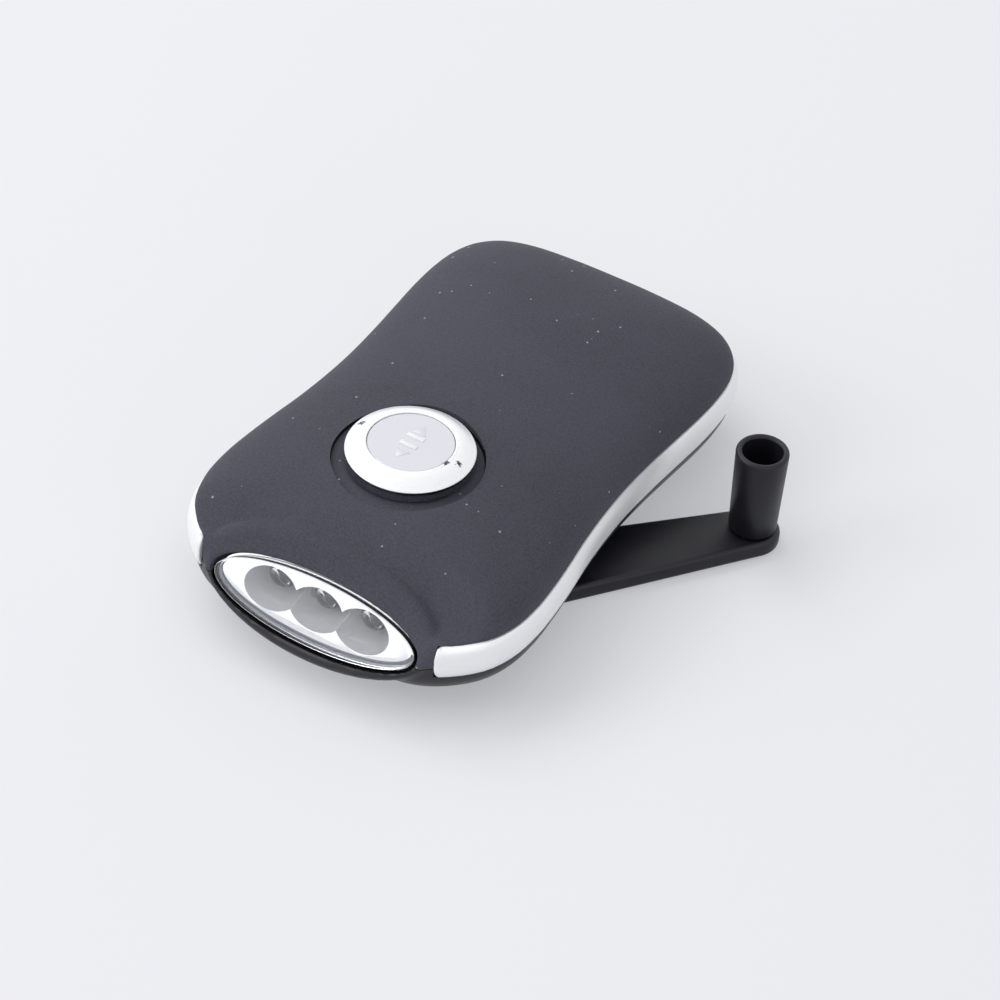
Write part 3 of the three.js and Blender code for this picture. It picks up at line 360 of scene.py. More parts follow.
# Solid forms
def loft(rings):
    """A closed form whose first face is extruded from ring to ring."""
    bm = bmesh.new()
    bmesh.ops.create_circle(bm, cap_ends=True, radius=1, segments=len(rings[0]))
    bm.faces.ensure_lookup_table()
    face = bm.faces[0]
    for i, ring in enumerate(rings):
        if i:
            made = bmesh.ops.extrude_face_region(bm, geom=[face])["geom"]
            if i > 1:
                bm.faces.remove(face)
            face = next(g for g in made if isinstance(g, bmesh.types.BMFace))
        for vert, place in zip(face.verts, ring):
            vert.co = place
    bmesh.ops.recalc_face_normals(bm, faces=bm.faces)
    return bm


def turned(profile, steps=96):
    """A turned form: its profile, as radius and level, spun round the Z axis."""
    bm = bmesh.new()
    verts = [bm.verts.new((radius, 0, level)) for radius, level in profile]
    edges = [bm.edges.new(pair) for pair in zip(verts, verts[1:])]
    bmesh.ops.spin(bm, geom=verts + edges, axis=(0, 0, 1), angle=FULL, steps=steps, use_merge=True)
    bmesh.ops.remove_doubles(bm, verts=bm.verts, dist=0.0005)
    bmesh.ops.recalc_face_normals(bm, faces=bm.faces)
    return bm


def block(low, high, bevel=0):
    """A box from its low corner to its high corner, its edges rounded by a length."""
    bm = bmesh.new()
    bmesh.ops.create_cube(bm, size=1)
    middle = [(a + b) / 2 for a, b in zip(low, high)]
    bmesh.ops.scale(bm, vec=[b - a for a, b in zip(low, high)], verts=bm.verts)
    bmesh.ops.translate(bm, vec=middle, verts=bm.verts)
    if bevel:
        rounded(bm, bm.edges, bevel, 3)
    return bm


def rounded(bm, edges, width, segments, material=-1):
    """Bevels the edges, in a finish of their own where one is given."""
    bmesh.ops.bevel(
        bm, geom=edges, offset=width, segments=segments, profile=0.5, affect="EDGES", material=material,
    )


def softened(bm, verts, passes):
    for _ in range(passes):
        bmesh.ops.smooth_vert(bm, verts=verts, factor=0.5, use_axis_x=True, use_axis_y=True, use_axis_z=True)


def rod(radius, low, high, x=0, y=0, count=48):
    bm = loft([circle_ring(radius, low, count), circle_ring(radius, high, count)])
    bmesh.ops.translate(bm, vec=(x, y, 0), verts=bm.verts)
    return bm


def moved(bm, matrix):
    bmesh.ops.transform(bm, matrix=matrix, verts=bm.verts)
    return bm


def joined(*forms):
    """Several closed forms in one mesh."""
    mesh = bpy.data.meshes.new("joining")
    for form in forms[1:]:
        form.to_mesh(mesh)
        form.free()
        forms[0].from_mesh(mesh)
    bpy.data.meshes.remove(mesh)
    return forms[0]


def workpiece(bm):
    mesh = bpy.data.meshes.new("workpiece")
    bm.to_mesh(mesh)
    bm.free()
    obj = bpy.data.objects.new("workpiece", mesh)
    bpy.context.scene.collection.objects.link(obj)
    return obj


def worked(obj, others=()):
    """The form that an object's modifiers give, and the objects that made it are removed."""
    bm = bmesh.new()
    bm.from_object(obj, bpy.context.evaluated_depsgraph_get())
    for used in (obj, *others):
        mesh = used.data
        bpy.data.objects.remove(used)
        bpy.data.meshes.remove(mesh)
    return bm


def carved(bm, *tools, operation="DIFFERENCE"):
    """A form with each tool cut out of it in turn, or only what it has in common with them."""
    obj = workpiece(bm)
    cutters = [workpiece(tool) for tool in tools]
    for cutter in cutters:
        modifier = obj.modifiers.new("carve", "BOOLEAN")
        modifier.operation = operation
        modifier.solver = "MANIFOLD"
        modifier.object = cutter
    return worked(obj, cutters)


def half_of(bm, level, above):
    """What lies above or below a level, closed again there."""
    cut = bmesh.ops.bisect_plane(
        bm, geom=[*bm.verts, *bm.edges, *bm.faces], plane_co=(0, 0, level), plane_no=(0, 0, 1),
        clear_inner=above, clear_outer=not above,
    )
    edges = [g for g in cut["geom_cut"] if isinstance(g, bmesh.types.BMEdge)]
    bmesh.ops.holes_fill(bm, edges=edges)
    return bm


def piece(name, bm, *finishes, sharp=40):
    """A finished object in metres, smooth but for edges sharper than an angle in degrees."""
    bmesh.ops.scale(bm, vec=(MM, MM, MM), verts=bm.verts)
    for face in bm.faces:
        face.smooth = True
    for edge in bm.edges:
        edge.smooth = len(edge.link_faces) == 2 and edge.calc_face_angle(0) < math.radians(sharp)
    mesh = bpy.data.meshes.new(name)
    bm.to_mesh(mesh)
    bm.free()
    obj = bpy.data.objects.new(name, mesh)
    bpy.context.scene.collection.objects.link(obj)
    for finish in finishes:
        mesh.materials.append(finish)
    return obj


def fit(obj, body, slot, *nodes):
    """The piece rides on a body and stands for CAD nodes, which are hidden; the slot is not used."""
    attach(obj, body)
    if nodes:
        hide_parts(*nodes)


# Finishes
def linear(hex_colour):
    """An sRGB hex colour as linear light."""
    parts = [int(hex_colour[i:i + 2], 16) / 255 for i in (1, 3, 5)]
    return (*(p / 12.92 if p <= 0.04045 else ((p + 0.055) / 1.055) ** 2.4 for p in parts), 1)


def add(tree, kind, inputs=None, **settings):
    """Adds a node with its settings, and its inputs as values or as links from other nodes."""
    made = tree.nodes.new(kind)
    for name, value in settings.items():
        setattr(made, name, value)
    for name, value in (inputs or {}).items():
        if isinstance(value, bpy.types.NodeSocket):
            tree.links.new(value, made.inputs[name])
        else:
            made.inputs[name].default_value = value
    return made


def per_metre(millimetres):
    """A pattern scale whose cells are about this many millimetres wide."""
    return 1 / (millimetres * MM)


def blank(name):
    material = bpy.data.materials.new(name)
    material.use_nodes = True
    material.node_tree.nodes.clear()
    return material, material.node_tree


def shade(tree, inputs):
    """The surface shader with its inputs, joined to the output."""
    shader = add(tree, "ShaderNodeBsdfPrincipled", inputs)
    add(tree, "ShaderNodeOutputMaterial", {"Surface": shader.outputs[0]})


def mix(tree, factor, first, second):
    """A colour between two colours by a factor."""
    return add(tree, "ShaderNodeMix", {0: factor, 6: first, 7: second}, data_type="RGBA").outputs[2]


def maths(tree, operation, *values):
    return add(tree, "ShaderNodeMath", dict(enumerate(values)), operation=operation).outputs[0]


def ramp(tree, value, low, high, start=0, end=1):
    """A value stretched from a range to another range and held at its ends."""
    inputs = {"Value": value, "From Min": low, "From Max": high, "To Min": start, "To Max": end}
    return add(tree, "ShaderNodeMapRange", inputs).outputs[0]


def noise(tree, where, size, detail=2, roughness=0.5):
    inputs = {"Vector": where, "Scale": per_metre(size), "Detail": detail, "Roughness": roughness}
    return add(tree, "ShaderNodeTexNoise", inputs).outputs["Fac"]


def flecks(tree, where, spacing, size, share):
    """Sparse small marks: one cell in so many holds a fleck, up to a size in millimetres."""
    cells = add(tree, "ShaderNodeTexVoronoi", {"Vector": where, "Scale": per_metre(spacing)})
    chance = add(tree, "ShaderNodeSeparateColor", {0: cells.outputs["Color"]}).outputs[0]
    reach = ramp(tree, chance, 1 - share, 1, 0, size / spacing)
    inside = maths(tree, "SUBTRACT", reach, cells.outputs["Distance"])
    return ramp(tree, inside, 0, size / spacing * 0.35)


def soft_touch_paint():
    """ABS sprayed with a rubbery paint: charcoal, almost no gloss, with a tooth that holds pale dust.

    The real tooth is finer than 0.1 mm, and is drawn at a third of a millimetre so that it shows.
    """
    material, tree = blank("soft_touch_paint")
    where = add(tree, "ShaderNodeTexCoord").outputs["Object"]
    broad = noise(tree, where, size=26, detail=3)
    grain = noise(tree, where, size=0.34, detail=4, roughness=0.65)
    tone = mix(tree, ramp(tree, broad, 0.35, 0.65), linear("#43434b"), linear("#4c4c55"))
    tone = mix(tree, ramp(tree, grain, 0.35, 0.7, 0, 0.55), tone, linear("#60606b"))
    fine_dust = flecks(tree, where, spacing=2.2, size=0.28, share=0.5)
    lint = flecks(tree, where, spacing=6, size=0.45, share=0.35)
    dust = maths(tree, "MAXIMUM", fine_dust, lint)
    slanted = {"Vector": where, "Rotation": (0, 0, 0.9), "Scale": (1, 0.12, 1)}
    along_scratches = add(tree, "ShaderNodeMapping", slanted).outputs[0]
    scratch = flecks(tree, along_scratches, spacing=3, size=0.3, share=0.12)
    tone = mix(tree, maths(tree, "MULTIPLY", dust, 0.75), tone, linear("#b6b6bc"))
    tone = mix(tree, maths(tree, "MULTIPLY", scratch, 0.4), tone, linear("#9b9ca2"))
    bump = add(tree, "ShaderNodeBump", {"Height": grain, "Strength": 0.3, "Distance": 0.00008})
    shade(tree, {
        "Base Color": tone, "Roughness": ramp(tree, broad, 0.3, 0.7, 0.72, 0.8), "IOR": 1.22,
        "Sheen Weight": 0.04, "Sheen Roughness": 0.45, "Normal": bump.outputs[0],
    })
    return material


def silver_plating():
    """Bright silver plating on moulded ABS: a soft mirror with faint clouds in its gloss."""
    material, tree = blank("silver_plating")
    where = add(tree, "ShaderNodeTexCoord").outputs["Object"]
    cloud = noise(tree, where, size=6, detail=3)
    fine = noise(tree, where, size=0.5)
    tone = mix(tree, ramp(tree, fine, 0.35, 0.65, 0, 0.3), linear("#fafbfc"), linear("#f1f3f5"))
    shade(tree, {"Base Color": tone, "Metallic": 0.35, "Roughness": ramp(tree, cloud, 0.3, 0.7, 0.28, 0.34)})
    return material


def worn_plating():
    """The same plating on the button, with a few dark chips where it has worn through."""
    material, tree = blank("worn_plating")
    where = add(tree, "ShaderNodeTexCoord").outputs["Object"]
    cloud = noise(tree, where, size=5, detail=3)
    ragged = noise(tree, where, size=0.45, detail=3, roughness=0.7)
    spots = None
    for place in WORN_SPOTS:
        spot = [MM * v for v in place]
        away = add(tree, "ShaderNodeVectorMath", {0: where, 1: spot}, operation="DISTANCE").outputs["Value"]
        near = ramp(tree, away, WORN_REACH[0] * MM, WORN_REACH[1] * MM, 1, 0)
        spots = near if spots is None else maths(tree, "MAXIMUM", spots, near)
    chip = ramp(tree, maths(tree, "MULTIPLY", spots, ragged), 0.36, 0.42)
    tone = mix(tree, ramp(tree, ragged, 0.35, 0.65, 0, 0.4), linear("#fbfcfd"), linear("#eff0f2"))
    tone = mix(tree, chip, tone, linear("#3b3e3f"))
    gloss = ramp(tree, cloud, 0.3, 0.7, 0.28, 0.36)
    spread = maths(tree, "ADD", gloss, maths(tree, "MULTIPLY", chip, 0.2))
    shade(tree, {"Base Color": tone, "Metallic": 0.35, "Roughness": spread})
    return material


def satin_silver():
    """Fine blasted silver: flat light grey with a very small grain."""
    material, tree = blank("satin_silver")
    where = add(tree, "ShaderNodeTexCoord").outputs["Object"]
    grain = noise(tree, where, size=0.25)
    tone = mix(tree, grain, linear("#c9c9cf"), linear("#d4d4d9"))
    bump = add(tree, "ShaderNodeBump", {"Height": grain, "Strength": 0.1, "Distance": 0.00004})
    shade(tree, {"Base Color": tone, "Metallic": 0.55, "Roughness": 0.45, "Normal": bump.outputs[0]})
    return material


def plain_finish(name, low, high, grain, roughness, metallic=0, bump=0.08, **more):
    """A moulded, turned or rolled surface: two close tones in a grain of a size in millimetres."""
    material, tree = blank(name)
    where = add(tree, "ShaderNodeTexCoord").outputs["Object"]
    fine = noise(tree, where, grain, detail=3)
    broad = noise(tree, where, grain * 12)
    tone = mix(tree, ramp(tree, maths(tree, "ADD", fine, broad), 0.7, 1.3), linear(low), linear(high))
    rise = add(tree, "ShaderNodeBump", {"Height": fine, "Strength": bump, "Distance": grain * MM * 0.2})
    spread = ramp(tree, broad, 0.3, 0.7, roughness - 0.05, roughness + 0.05)
    shade(tree, {
        "Base Color": tone, "Metallic": metallic, "Roughness": spread, "Normal": rise.outputs[0], **more,
    })
    return material


def clear_finish(name, tint, ior, roughness):
    """Clear moulded plastic or epoxy, with a trace of unevenness in its gloss."""
    material, tree = blank(name)
    where = add(tree, "ShaderNodeTexCoord").outputs["Object"]
    haze = noise(tree, where, size=4)
    spread = ramp(tree, haze, 0.3, 0.7, roughness, roughness + 0.02)
    shade(tree, {
        "Base Color": linear(tint), "Transmission Weight": 1.0, "IOR": ior, "Roughness": spread,
    })
    return material


RUBBER = soft_touch_paint()
# Painted shade on the switch recess's upright wall: almost black and without gloss, for the deep shadow
# beside the button
RECESS_WALL_PAINTED_SHADE = plain_finish("recess_wall_painted_shade", "#060608", "#0a0a0c", 0.4, 0.6, IOR=1.25)
# ABS from a finely blasted mould: black with a broad satin shine
LOWER_BLACK = plain_finish("satin_black_abs", "#131317", "#1b1b20", 0.4, 0.36, bump=0.06)
SILVER = silver_plating()
BUTTON_SILVER = worn_plating()
# Plating on the button's upright side, out of the hand's way: bright, so that it mirrors the dark gap
SIDE_SILVER = plain_finish("bright_plated_side", "#a9abaf", "#b9bbbf", 0.3, 0.16, metallic=1, bump=0.03)
SATIN = satin_silver()
# ABS from a plain mould: black with a low gloss
BLACK = plain_finish("moulded_black_abs", "#101016", "#16161d", 0.35, 0.42, IOR=1.38)
# Polished acrylic and cast epoxy: clear, with a small hard highlight
LENS_CLEAR = clear_finish("polished_acrylic", "#fbfcfd", 1.49, 0.01)
EPOXY = clear_finish("led_epoxy", "#f6f8fa", 1.52, 0.02)
# Vacuum plating: a mirror on the flange, hazy in the cups, with a greyer painted shade in the groove round
# them, and dull where it lies thin on the ridges between them
MIRROR = plain_finish("vacuum_plated_front", "#f4f4f6", "#ffffff", 1.2, 0.16, metallic=1, bump=0.02)
CUP_MIRROR = plain_finish("vacuum_plated_cup", "#f0f1f4", "#fafafc", 0.8, 0.3, metallic=0.3, bump=0.03)
GROOVE_PAINTED_SHADE = plain_finish("groove_painted_shade_plating", "#85888e", "#94979d", 0.8, 0.35, metallic=0.8, bump=0.03)
RIDGE_MIRROR = plain_finish("vacuum_plated_ridge", "#fafafa", "#ffffff", 0.8, 0.5, metallic=0.1)
# Painted shade on the lens's side: near-black, so that the side shows dark instead of glowing
LENS_SIDE_PAINTED_SHADE = plain_finish("lens_side_painted_shade", "#0e0e10", "#141416", 0.4, 0.5)
# Zinc plated steel: cool grey and half bright
STEEL = plain_finish("zinc_plated_steel", "#a4a6aa", "#c0c2c6", 0.3, 0.3, metallic=1)
# Pad printed ink: flat white
WHITE_PAINT = plain_finish("white_pad_print", "#fafafa", "#ffffff", 0.2, 0.5)
# Phosphor cast over the chip: a dull amber dot
PHOSPHOR = plain_finish("led_phosphor", "#d98a3a", "#e0a050", 0.1, 0.5)
# Moulded nylon: waxy off-white
NYLON = plain_finish("moulded_nylon", "#dcd9cf", "#e8e6de", 0.5, 0.5)
# Turned brass: bright yellow
BRASS = plain_finish("turned_brass", "#b8954a", "#cfae63", 0.2, 0.3, metallic=1)
# Copper wire in clear enamel: deep orange with a varnished shine
COPPER = plain_finish("enamelled_copper", "#9c5a2c", "#b8733c", 0.3, 0.35, metallic=0.9)
# Sintered ferrite: dull dark grey
FERRITE = plain_finish("sintered_ferrite", "#2b2b30", "#3a3a40", 0.3, 0.6)
# Solder mask on glass fibre: dark green, half glossy
BOARD = plain_finish("solder_mask", "#1f5a34", "#2a6e40", 0.6, 0.4)
# Nickel plated steel can: bright and a little warm
CELL = plain_finish("nickel_plated_can", "#b8bbbf", "#cdd0d3", 0.4, 0.25, metallic=1)
# Heat shrunk sleeve: smooth green
SLEEVE = plain_finish("shrink_sleeve", "#2f7d4a", "#3c9058", 1.5, 0.35)
# Extruded PVC insulation: even colour with a soft gloss
RED_WIRE = plain_finish("red_insulation", "#a3231c", "#b52d25", 0.4, 0.45)
BLACK_WIRE = plain_finish("black_insulation", "#17171a", "#202024", 0.4, 0.45)

SLOT_FINISHES = {
    "soft_touch_black": RUBBER, "silver_plating": SILVER, "satin_silver": SATIN, "matte_black": BLACK,
    "clear_plastic": EPOXY, "reflector_plating": MIRROR, "steel": STEEL, "white_nylon": NYLON,
    "brass": BRASS, "copper_winding": COPPER, "ferrite": FERRITE, "board_green": BOARD,
    "cell_steel": CELL, "green_wrap": SLEEVE, "red_insulation": RED_WIRE, "black_insulation": BLACK_WIRE,
}
for row in frame["record"]["subparts"]:
    node_mesh = frame["nodes"][row["node"]].data
    node_mesh.materials.clear()
    node_mesh.materials.append(SLOT_FINISHES[row["material_slot"]])


# Covers
def shoulder(place):
    """A point of the dome, lowered where the dome falls towards the nose, most of all at its sides."""
    near = clamp(1 + (FACE.inverted() @ place).z / SHOULDER_REACH, 0, 1)
    outward = clamp(abs(place.x) / SHOULDER_HALF, 0, 1) ** 2
    fall = near * near * (3 - 2 * near) * (BROW_FALL + SHOULDER_FALL * outward)
    height = place.z - BAND_TOP
    return Vector((place.x, place.y, BAND_TOP + max(height - fall, height * SHOULDER_LEAST)))


def body_form(side_in=0, thickness_in=0, edge=BOTTOM_ROUND):
    """The whole body as one closed form, its sides and thickness drawn in for the hollow."""
    rings = []
    for i in range(BOTTOM_STEPS + 1):
        turn = QUARTER * i / BOTTOM_STEPS
        level = BAND_LOW - (BAND_LOW - BOTTOM - thickness_in) * math.cos(turn)
        rings.append(body_ring(side_in + edge * (1 - math.sin(turn)), level))
    for i in range(DOME_STEPS + 1):
        turn = math.radians(DOME_TOP_TURN) * i / DOME_STEPS
        share = 1 - math.cos(turn) ** (2 / DOME_POWER)
        rise = math.sin(turn) ** (2 / DOME_POWER)
        ring = body_ring(side_in + DOME_LEDGE, BAND_TOP + (CROWN - BAND_TOP - thickness_in) * rise, share)
        rings.append([shoulder(place) for place in ring])
    return loft(rings)


def belt(section, end):
    """A belt round the body from one side of the nose to the other: its section is inset and level."""
    first = next(i for i, p in enumerate(OUTLINE) if p.x > end) - 2
    stations = OUTLINE[first:OUTLINE_COUNT - first + 1]
    bm = loft([[inward(place, inset, level) for inset, level in section] for place in stations])
    for side in (1, -1):
        front = [g for g in (*bm.verts, *bm.edges, *bm.faces) if in_corner(g, side)]
        cut = bmesh.ops.bisect_plane(
            bm, geom=front, plane_co=(side * end, 0, 0), plane_no=(-side, 0, 0), clear_outer=True,
        )
        bmesh.ops.holes_fill(bm, edges=[g for g in cut["geom_cut"] if isinstance(g, bmesh.types.BMEdge)])
    return bm


def in_corner(part, side):
    """Whether a vertex, edge or face lies wholly in front, on one side of the middle."""
    places = [part.co] if isinstance(part, bmesh.types.BMVert) else [v.co for v in part.verts]
    return all(p.y < 0 and p.x * side > 0 for p in places)


def nose_collar():
    """The nose's raised rim round the lens, its front edge rounded."""
    edge = NOSE_ROUND * (1 - math.sqrt(0.5))
    rings = [oval(COLLAR_BACK_HALF, NOSE_ABOVE - COLLAR_BACK_FALL, COLLAR_BACK_BELOW, -COLLAR_DEPTH)]
    for cut, depth in ((0, -NOSE_ROUND), (edge, -edge), (NOSE_ROUND, 0)):
        rings.append(oval(NOSE_HALF - cut, NOSE_ABOVE - cut, NOSE_BELOW - cut, depth))
    return loft(rings)


def before_face(depth=0):
    """Everything in front of the nose's leaning face."""
    return moved(block((-FRONT_ROOM, -FRONT_ROOM, depth), (FRONT_ROOM, FRONT_ROOM, FRONT_ROOM)), FACE)


def lens_seat():
    """The oval opening that the lens is seated in, cut from the front."""
    opening = (OPENING_HALF, OPENING_ABOVE, OPENING_BELOW)
    return loft([oval(*opening, -SEAT_DEPTH), oval(*opening, OVERRUN)])


def level_bar(grow, rear):
    """A level oval bar along Y behind the lens."""
    across = LENS_HALF_WIDTH - 2 * LENS_GAP + grow
    high = (LENS_HALF_HEIGHT - 2 * LENS_GAP) * math.cos(math.radians(FACE_TILT)) + grow
    turns = [FULL * i / OVAL_COUNT for i in range(OVAL_COUNT)]
    ring = [(across * math.cos(t), LENS_CENTRE[2] + high * math.sin(t)) for t in turns]
    return loft([[Vector((x, y, z)) for x, z in ring] for y in (rear, BAR_FRONT_Y)])


def skin():
    """The covers' outer surface in one piece: the paint rounds every edge, so it is remeshed and smoothed."""
    reflector_room = carved(level_bar(LENS_GAP, REFLECTOR_BACK), before_face(-1))
    bm = carved(body_form(), before_face(), lens_seat(), reflector_room)
    collar = carved(nose_collar(), before_face(), lens_seat(), level_bar(LENS_GAP, REFLECTOR_BACK))
    obj = workpiece(joined(bm, collar))
    remesh = obj.modifiers.new("paint", "REMESH")
    remesh.mode = "VOXEL"
    remesh.voxel_size = SKIN_VOXEL
    bm = worked(obj)
    softened(bm, bm.verts, SKIN_PASSES)
    to_face = FACE.inverted()
    crease = []
    for vert in bm.verts:
        local = to_face @ vert.co
        across = local.x / (LENS_HALF_WIDTH + CREASE_CLEAR)
        high = local.y / (LENS_HALF_HEIGHT + CREASE_CLEAR)
        if across ** 2 + high ** 2 > 1 and -CREASE_REACH < local.z:
            crease.append(vert)
    softened(bm, crease, CREASE_PASSES)
    return bm


def screw_places():
    return [(side * SCREW_X, y) for side in (1, -1) for y in (SCREW_FRONT_Y, SCREW_REAR_Y)]


def obround(half, low, high):
    """An upright bar round the stored knob, longer to the rear than a round one."""
    ring = []
    for i in range(64):
        across, along = half * math.cos(FULL * i / 64), half * math.sin(FULL * i / 64)
        ring.append((across, ARM_REACH + along + (POCKET_EXTRA if along > 0 else 0)))
    return loft([[Vector((x, y, z)) for x, y in ring] for z in (low, high)])


def switch_recess():
    """The round recess under the button, with a small rounding at its floor."""
    inner = RECESS_RADIUS - RECESS_CORNER
    profile = [
        (0, RECESS_FLOOR), (inner, RECESS_FLOOR),
        *arc((inner, RECESS_FLOOR + RECESS_CORNER), RECESS_CORNER, -67, 0, 3),
        (RECESS_RADIUS, CROWN - RECESS_FLARE_BELOW),
        (RECESS_RADIUS + RECESS_FLARE, CROWN + OVERRUN), (0, CROWN + OVERRUN),
    ]
    return moved(turned(profile, 128), Matrix.Translation((0, RECESS_Y, 0)))


def on_recess_wall(face):
    """The recess's upright wall, which takes the near-black painted shade."""
    middle = face.calc_center_median()
    inside, half = RECESS_WALL_ZONE
    away = math.hypot(middle.x, middle.y - RECESS_Y)
    at_wall = abs(away - RECESS_RADIUS + inside) < half and middle.z > RECESS_FLOOR - RECESS_WALL_FOOT
    return at_wall and abs(face.normal.z) < RECESS_WALL_LEAN


def covers():
    """The upper and the lower cover: the skin with the band's groove, parted, hollowed and cut."""
    groove = [(-OVERRUN, BAND_LOW), (BAND_SEAT, BAND_LOW), (BAND_SEAT, BAND_TOP), (-OVERRUN, BAND_TOP)]
    outer = carved(skin(), belt(groove, NOSE_HALF))
    tongue = BAND_SEAT + TONGUE
    top = half_of(outer.copy(), SPLIT + SEAM / 2, above=True)
    bottom = half_of(outer, SPLIT - SEAM / 2, above=False)
    pad = rod(RECESS_RADIUS + RECESS_WALL, RECESS_FLOOR - WALL, CROWN, 0, RECESS_Y, 96)
    nose_ends = (-COLLAR_DEPTH, NOSE_WALL_FRONT)
    nose_wall = loft([oval(NOSE_HALF, NOSE_ABOVE, NOSE_BELOW, depth) for depth in nose_ends])
    hollow = carved(body_form(tongue, WALL, HOLLOW_ROUND), pad, nose_wall)
    top = carved(top, hollow, switch_recess())
    # The recess's upright wall takes the near-black painted shade
    for face in top.faces:
        if on_recess_wall(face):
            face.material_index = 1
    cuts = [rod(HUB_RADIUS + CLEARANCE, 0, BOTTOM_CUT_TOP, count=96), obround(POCKET_HALF, 0, BOTTOM_CUT_TOP)]
    for x, y in screw_places():
        cuts.append(rod(SCREW_HEAD_RADIUS + CLEARANCE, 0, SCREW_SEAT, x, y))
    keep = [rod(BOSS_RADIUS, 0, ABOVE_ALL, x, y) for x, y in screw_places()]
    keep.append(obround(POCKET_HALF + POCKET_WALL, 0, ABOVE_ALL))
    room = carved(body_form(tongue, WALL, HOLLOW_ROUND), *keep)
    bottom = carved(bottom, room, *cuts)
    roof = body_form(tongue + POCKET_ROOF_GAP, WALL + POCKET_ROOF_GAP, HOLLOW_ROUND)
    inner_roof = body_form(tongue + POCKET_BORE_GAP, WALL + POCKET_BORE_GAP, HOLLOW_ROUND)
    tube = obround(POCKET_HALF + POCKET_WALL, POCKET_FOOT, POCKET_TOP + POCKET_WALL)
    bore = obround(POCKET_HALF, POCKET_MOUTH, POCKET_TOP)
    tube = carved(
        carved(tube, roof, operation="INTERSECT"), carved(bore, inner_roof, operation="INTERSECT"),
    )
    return top, joined(bottom, tube)


top_form, bottom_form = covers()
fit(piece("upper_cover_skin", top_form, RUBBER, RECESS_WALL_PAINTED_SHADE), "housing", "soft_touch_black", "top_cover")
fit(piece("lower_cover_skin", bottom_form, LOWER_BLACK), "housing", "matte_black", "bottom_cover")


# Side band
def silver_band():
    """Moulded band with a fuller middle and a fine parting line along it."""
    low, high = BAND_LOW + BAND_GAP, BAND_TOP - BAND_GAP
    middle, half = (low + high) / 2, (high - low) / 2
    bulge = []
    for i in range(13):
        rise = -1 + i / 6
        level = middle + half * rise
        notch = BAND_LINE if i == 6 else 0
        bulge.append((-BAND_BULGE * (1 - abs(rise) ** BAND_FULLNESS) + notch, level))
    section = [(BAND_SEAT - SEAM, low), *bulge, (BAND_SEAT - SEAM, high)]
    bm = belt(section, NOSE_HALF + SEAM)
    ends = [e for e in bm.edges if all(at_band_end(v.co) for v in e.verts)]
    rounded(bm, ends, BAND_END_ROUND, 4)
    return bm


def at_band_end(place):
    return abs(abs(place.x) - NOSE_HALF - SEAM) < NEAR and place.y < 0


fit(piece("silver_side_band", silver_band(), SILVER, sharp=50), "housing", "silver_plating", "side_band")


# Lens, reflector and LEDs
def lens_plate():
    """Clear plate with a rounded front rim, its side in near-black painted shade."""
    front = -LENS_INSET
    levels = (front - LENS_THICKNESS, front)
    bm = loft([oval(LENS_HALF_WIDTH, LENS_ABOVE, LENS_HALF_HEIGHT, depth) for depth in levels])
    rim = [e for e in bm.edges if all(abs((FACE.inverted() @ v.co).z - front) < NEAR for v in e.verts)]
    rounded(bm, rim, LENS_BEVEL, 6)
    outward = FACE.to_3x3() @ Vector((0, 0, 1))
    # Faces on the lens's side take the near-black painted shade
    for face in bm.faces:
        if abs(face.normal.dot(outward)) < LENS_SIDE_FACING:
            face.material_index = 1
    return bm


def cup_places():
    return (-CUP_PITCH, 0, CUP_PITCH)


def along_lens(bm, x, y):
    """A form made upright, laid so that it points out of the nose."""
    return moved(bm, Matrix.Translation((x, y, LENS_CENTRE[2])) @ Matrix.Rotation(QUARTER, 4, "X"))


def cup_tool(x):
    """The hollow of a cup: round at the LED, wider than high at the mouth."""
    length = REFLECTOR_BACK - LENS_CENTRE[1]
    rings = []
    for i in range(-1, CUP_STEPS + CUP_OVERRUN_STEPS):
        share = clamp(i / CUP_STEPS, 0, 1) ** CUP_FLARE
        across = CUP_THROAT + (CUP_MOUTH_HALF - CUP_THROAT) * share
        high = CUP_THROAT + (CUP_MOUTH_HIGH - CUP_THROAT) * share
        level = length * i / CUP_STEPS
        drop = CUP_MOUTH_DROP * share
        turns = [FULL * k / 96 for k in range(96)]
        rings.append([Vector((across * math.cos(t), high * math.sin(t) - drop, level)) for t in turns])
    return along_lens(loft(rings), x, REFLECTOR_BACK)


def in_a_cup(place):
    """Whether a place of the reflector, seen from the lens, is within the outline of a cup."""
    across = min(abs(place.x - x) for x in cup_places()) / (CUP_MOUTH_HALF + CUP_RIM)
    high = (place.z - LENS_CENTRE[2] + CUP_MOUTH_DROP) / (CUP_MOUTH_HIGH + CUP_BROW)
    return math.hypot(across, high) < 1


def on_a_ridge(edge):
    """Whether an edge is one where two cups meet."""
    in_cups = all(f.material_index == 1 for f in edge.link_faces)
    deep = all(abs(v.co.x) > RIDGE_NEAREST and v.co.y < REFLECTOR_BACK - RIDGE_DEPTH for v in edge.verts)
    return edge.calc_face_angle(0) > RIDGE_TURN_LEAST and in_cups and deep


